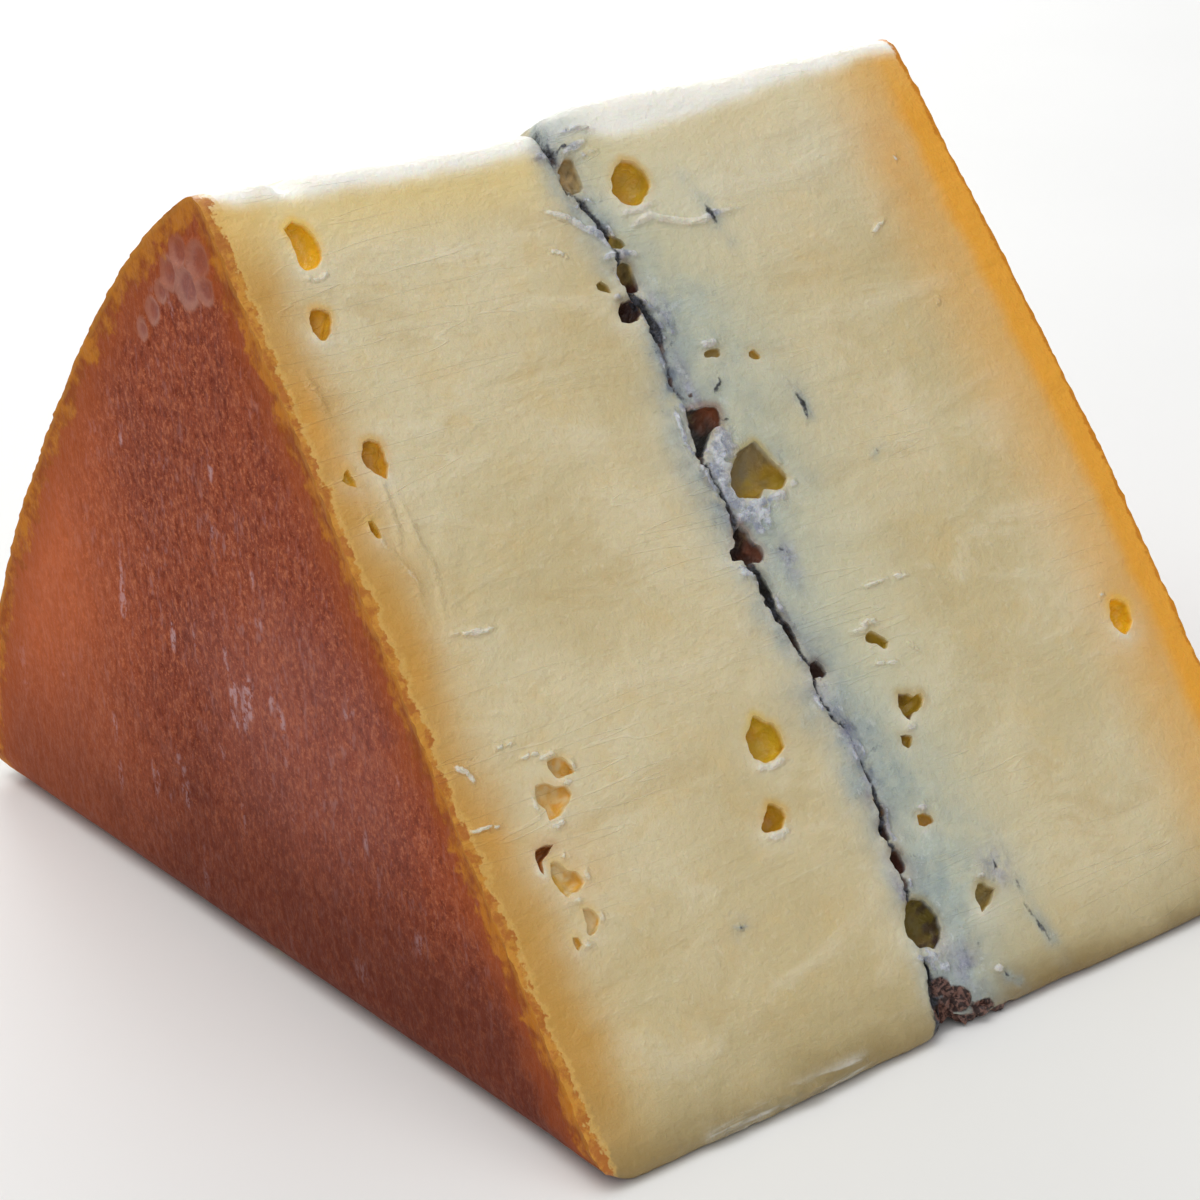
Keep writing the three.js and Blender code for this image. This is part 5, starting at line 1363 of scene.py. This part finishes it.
def rind_material():
    g = G("cheese_rind")
    b = g.bsdf
    c = lambda v, k: g.math('MULTIPLY', g.math('SUBTRACT', v, 0.5), k)
    sep = g.t.nodes.new("ShaderNodeSeparateXYZ")
    g.link(g.coord, sep.inputs[0])
    y, z = sep.outputs["Y"], sep.outputs["Z"]
    up = g.scale(1.0, 1.0, 0.72)
    big = g.noise(38, 4, 0.55)
    st = g.noise(1100, 4, 0.65, up)
    st2 = g.noise(1300, 3, 0.65, g.scale(1.0, 1.0, 0.38))
    wide = g.noise(180, 4, 0.6, g.scale(1.0, 1.0, 0.6))
    grain = g.noise(2100, 3, 0.75)
    col = g.mix(g.step(big, 0.35, 0.7), lin(142, 74, 52), lin(158, 86, 58))
    col = g.mix(g.math('MULTIPLY', g.step(wide, 0.46, 0.64), 0.35), col, lin(168, 92, 56))
    col = g.mix(g.math('MULTIPLY', g.step(wide, 0.46, 0.32), 0.35), col, lin(124, 66, 54))
    col = g.mix(g.math('MULTIPLY', g.step(st, 0.50, 0.64), 0.55), col, lin(182, 112, 76))
    col = g.mix(g.math('MULTIPLY', g.step(st, 0.47, 0.34), 0.60), col, lin(108, 46, 26))
    col = g.mix(g.math('MULTIPLY', g.step(grain, 0.53, 0.64), 0.60), col, lin(206, 140, 104))
    col = g.mix(g.math('MULTIPLY', g.step(grain, 0.47, 0.36), 0.50), col, lin(96, 42, 26))
    # faint lilac cast low on the front half of the face
    dy = g.math('DIVIDE', g.math('ADD', y, 0.0107), 0.016)
    dz = g.math('DIVIDE', g.math('SUBTRACT', z, 0.0235), 0.012)
    rad = g.math('ADD', g.math('MULTIPLY', dy, dy), g.math('MULTIPLY', dz, dz))
    col = g.mix(g.math('MULTIPLY', g.step(g.math('ADD', rad, c(wide, 1.2)), 1.7, 0.1), 0.18), col, lin(172, 136, 144))
    # lilac-grey bloom in fine upright flecks
    lil = g.math('MULTIPLY', g.step(st2, 0.54, 0.70), g.step(g.noise(120, 3, 0.6), 0.38, 0.62, 0.2, 1.0))
    col = g.mix(g.math('MULTIPLY', lil, 0.72), col, lin(170, 132, 136))
    fleck = g.math('MULTIPLY', g.step(g.noise(330, 2, 0.4, g.scale(1.0, 1.0, 0.45)), 0.67, 0.74), g.step(g.noise(1400, 3, 0.7, up), 0.44, 0.58))
    col = g.mix(g.math('MULTIPLY', fleck, 0.80), col, lin(196, 180, 200))
    # painted shade: darker and browner towards the rim side, where the face rounds away from the light
    low = g.step(g.math('ADD', z, c(big, 0.02)), 0.026, 0.002)
    col = g.mix(g.math('MULTIPLY', low, 0.72), col, lin(94, 44, 26))
    # orange and lighter towards the back of the face: partly the rind's own orange, partly painted light where more
    # light falls
    far_tone_and_light = g.step(g.math('ADD', y, c(big, 0.02)), 0.011, 0.038)
    far_tone_and_light = g.math('MULTIPLY', far_tone_and_light, g.step(z, 0.004, 0.026, 0.35, 1.0))
    col = g.mix(g.math('MULTIPLY', far_tone_and_light, 0.68), col, lin(214, 128, 78))
    # dried blister rings by the tip
    bs = g.attr("blister")
    ring = g.math('MULTIPLY', g.step(bs, 0.10, 0.45), g.step(bs, 0.98, 0.70))
    col = g.mix(g.math('MULTIPLY', g.step(bs, 0.25, 0.9), 0.60), col, lin(160, 126, 134))
    col = g.mix(g.math('MULTIPLY', ring, 0.60), col, lin(190, 160, 156))
    col = g.mix(1.0, col, (1.0, 0.735, 0.59, 1.0), 'MULTIPLY')
    # ochre, crumbly cut border
    rim = g.attr("rimd")
    rn2 = g.math('ADD', rim, c(g.noise(260, 4, 0.6), 8.0))
    col = g.mix(g.math('MULTIPLY', g.step(rn2, 6.5, 2.0), 0.66), col, lin(168, 80, 30))
    rn = g.math('ADD', rim, g.math('ADD', c(g.noise(330, 4, 0.7), 5.0), c(g.noise(1000, 3, 0.7), 3.4)))
    ochre = g.mix(g.step(g.noise(420, 5, 0.65), 0.38, 0.62), lin(152, 76, 18), lin(208, 134, 36))
    col = g.mix(g.math('MULTIPLY', g.step(rn, 2.4, 1.3), 0.76), col, ochre)
    rn3 = g.math('ADD', rim, c(g.noise(420, 4, 0.7), 1.6))
    col = g.mix(g.math('MULTIPLY', g.step(rn3, 0.60, 0.25), 0.40), col, lin(208, 148, 54))
    cr = g.math('ADD', g.attr("crumb"), c(g.noise(700, 4, 0.7), 0.5))
    col = g.mix(g.step(cr, 0.14, 0.36), col, g.mix(g.step(grain, 0.42, 0.62), lin(42, 24, 20), lin(104, 74, 64)))
    g.link(col, b.inputs["Base Color"])
    rr = g.step(st, 0.3, 0.7, 0.80, 0.60)
    g.link(rr, b.inputs["Roughness"])
    b.inputs["Specular IOR Level"].default_value = 0.18
    b.inputs["Subsurface Weight"].default_value = 0.06
    b.inputs["Subsurface Radius"].default_value = (1.0, 0.35, 0.15)
    b.inputs["Subsurface Scale"].default_value = 0.0012
    h = g.math('ADD', g.math('MULTIPLY', st, 1.6), g.math('MULTIPLY', grain, 0.5))
    h = g.math('ADD', h, g.math('MULTIPLY', st2, 0.8))
    g.link(g.bump(h, 0.7, 0.00030), b.inputs["Normal"])
    return g.m


me.materials.append(paste_material())
me.materials.append(rind_material())
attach(wedge, "root")
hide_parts("cheese_wedge")


# =====================================================================================
# Floor, light, camera
# =====================================================================================
def plain(name, rgb, rough):
    g = G(name)
    n = g.noise(14, 3, 0.5)
    c = g.mix(g.step(n, 0.3, 0.7), (rgb[0] * 0.985, rgb[1] * 0.985, rgb[2] * 0.985, 1), (*rgb, 1))
    g.link(c, g.bsdf.inputs["Base Color"])
    g.bsdf.inputs["Roughness"].default_value = rough
    return g.m


fm = bpy.data.meshes.new("floor")
R = 8.0
fm.from_pydata([(-R, -R, 0), (R, -R, 0), (R, R, 0), (-R, R, 0)], [], [(0, 1, 2, 3)])
fm.update()
floor_ob = bpy.data.objects.new("floor", fm)
floor_ob.location = (0, 0, -0.0001)
fm.materials.append(plain("pale_floor", (0.86, 0.86, 0.85), 0.6))
bpy.context.scene.collection.objects.link(floor_ob)


def area(name, loc, target, size, power, color):
    ld = bpy.data.lights.new(name, 'AREA')
    ld.shape = 'RECTANGLE'
    ld.size, ld.size_y = size
    ld.energy = power
    ld.color = color
    ob = bpy.data.objects.new(name, ld)
    ob.location = loc
    d = Vector(target) - Vector(loc)
    ob.rotation_euler = d.to_track_quat('-Z', 'Y').to_euler()
    bpy.context.scene.collection.objects.link(ob)
    return ob


# a wide soft source overhead and a little to the left, a front fill, and a weak one behind for the tip
area("overhead", (-0.12, 0.12, 0.60), (0, 0, 0.035), (0.50, 0.50), 1.9, (1.0, 0.99, 0.97))
area("fill", (-0.40, -0.62, 0.36), (0, 0, 0.03), (0.8, 0.6), 1.0, (1.0, 0.99, 0.975))
area("behind", (0.30, 0.50, 0.34), (0, 0, 0.06), (0.45, 0.30), 1.5, (1.0, 1.0, 1.0))
sd = bpy.data.lights.new("sky", 'SUN')
sd.energy = 0.72
sd.angle = math.radians(80)
sky = bpy.data.objects.new("sky", sd)
sky.rotation_euler = (math.radians(22), math.radians(-14), 0)
bpy.context.scene.collection.objects.link(sky)
world = bpy.data.worlds.new("studio")
bpy.context.scene.world = world
world.use_nodes = True
world.node_tree.nodes["Background"].inputs[0].default_value = (0.97, 0.98, 1.0, 1)
world.node_tree.nodes["Background"].inputs[1].default_value = 0.27
bpy.context.scene.view_settings.view_transform = 'Standard'

az, el, roll = math.radians(-35.97), math.radians(22.45), math.radians(-3.0)
fwd = Vector((-math.sin(az) * math.cos(el), math.cos(az) * math.cos(el), -math.sin(el)))
right = Vector((math.cos(az), math.sin(az), 0))
upv = right.cross(fwd)
r2 = right * math.cos(roll) + upv * math.sin(roll)
u2 = upv * math.cos(roll) - right * math.sin(roll)
cam_d = bpy.data.cameras.new("camera")
cam = bpy.data.objects.new("camera", cam_d)
m = Matrix((r2, u2, -fwd)).transposed().to_4x4()
m.translation = Vector((-0.1567, -0.2168, 0.1329))
cam.matrix_world = m
cam_d.sensor_width = 36.0
cam_d.lens = 36.0 * 3195.0 / 1200.0
cam_d.clip_start = 0.01
bpy.context.scene.collection.objects.link(cam)
bpy.context.scene.camera = cam
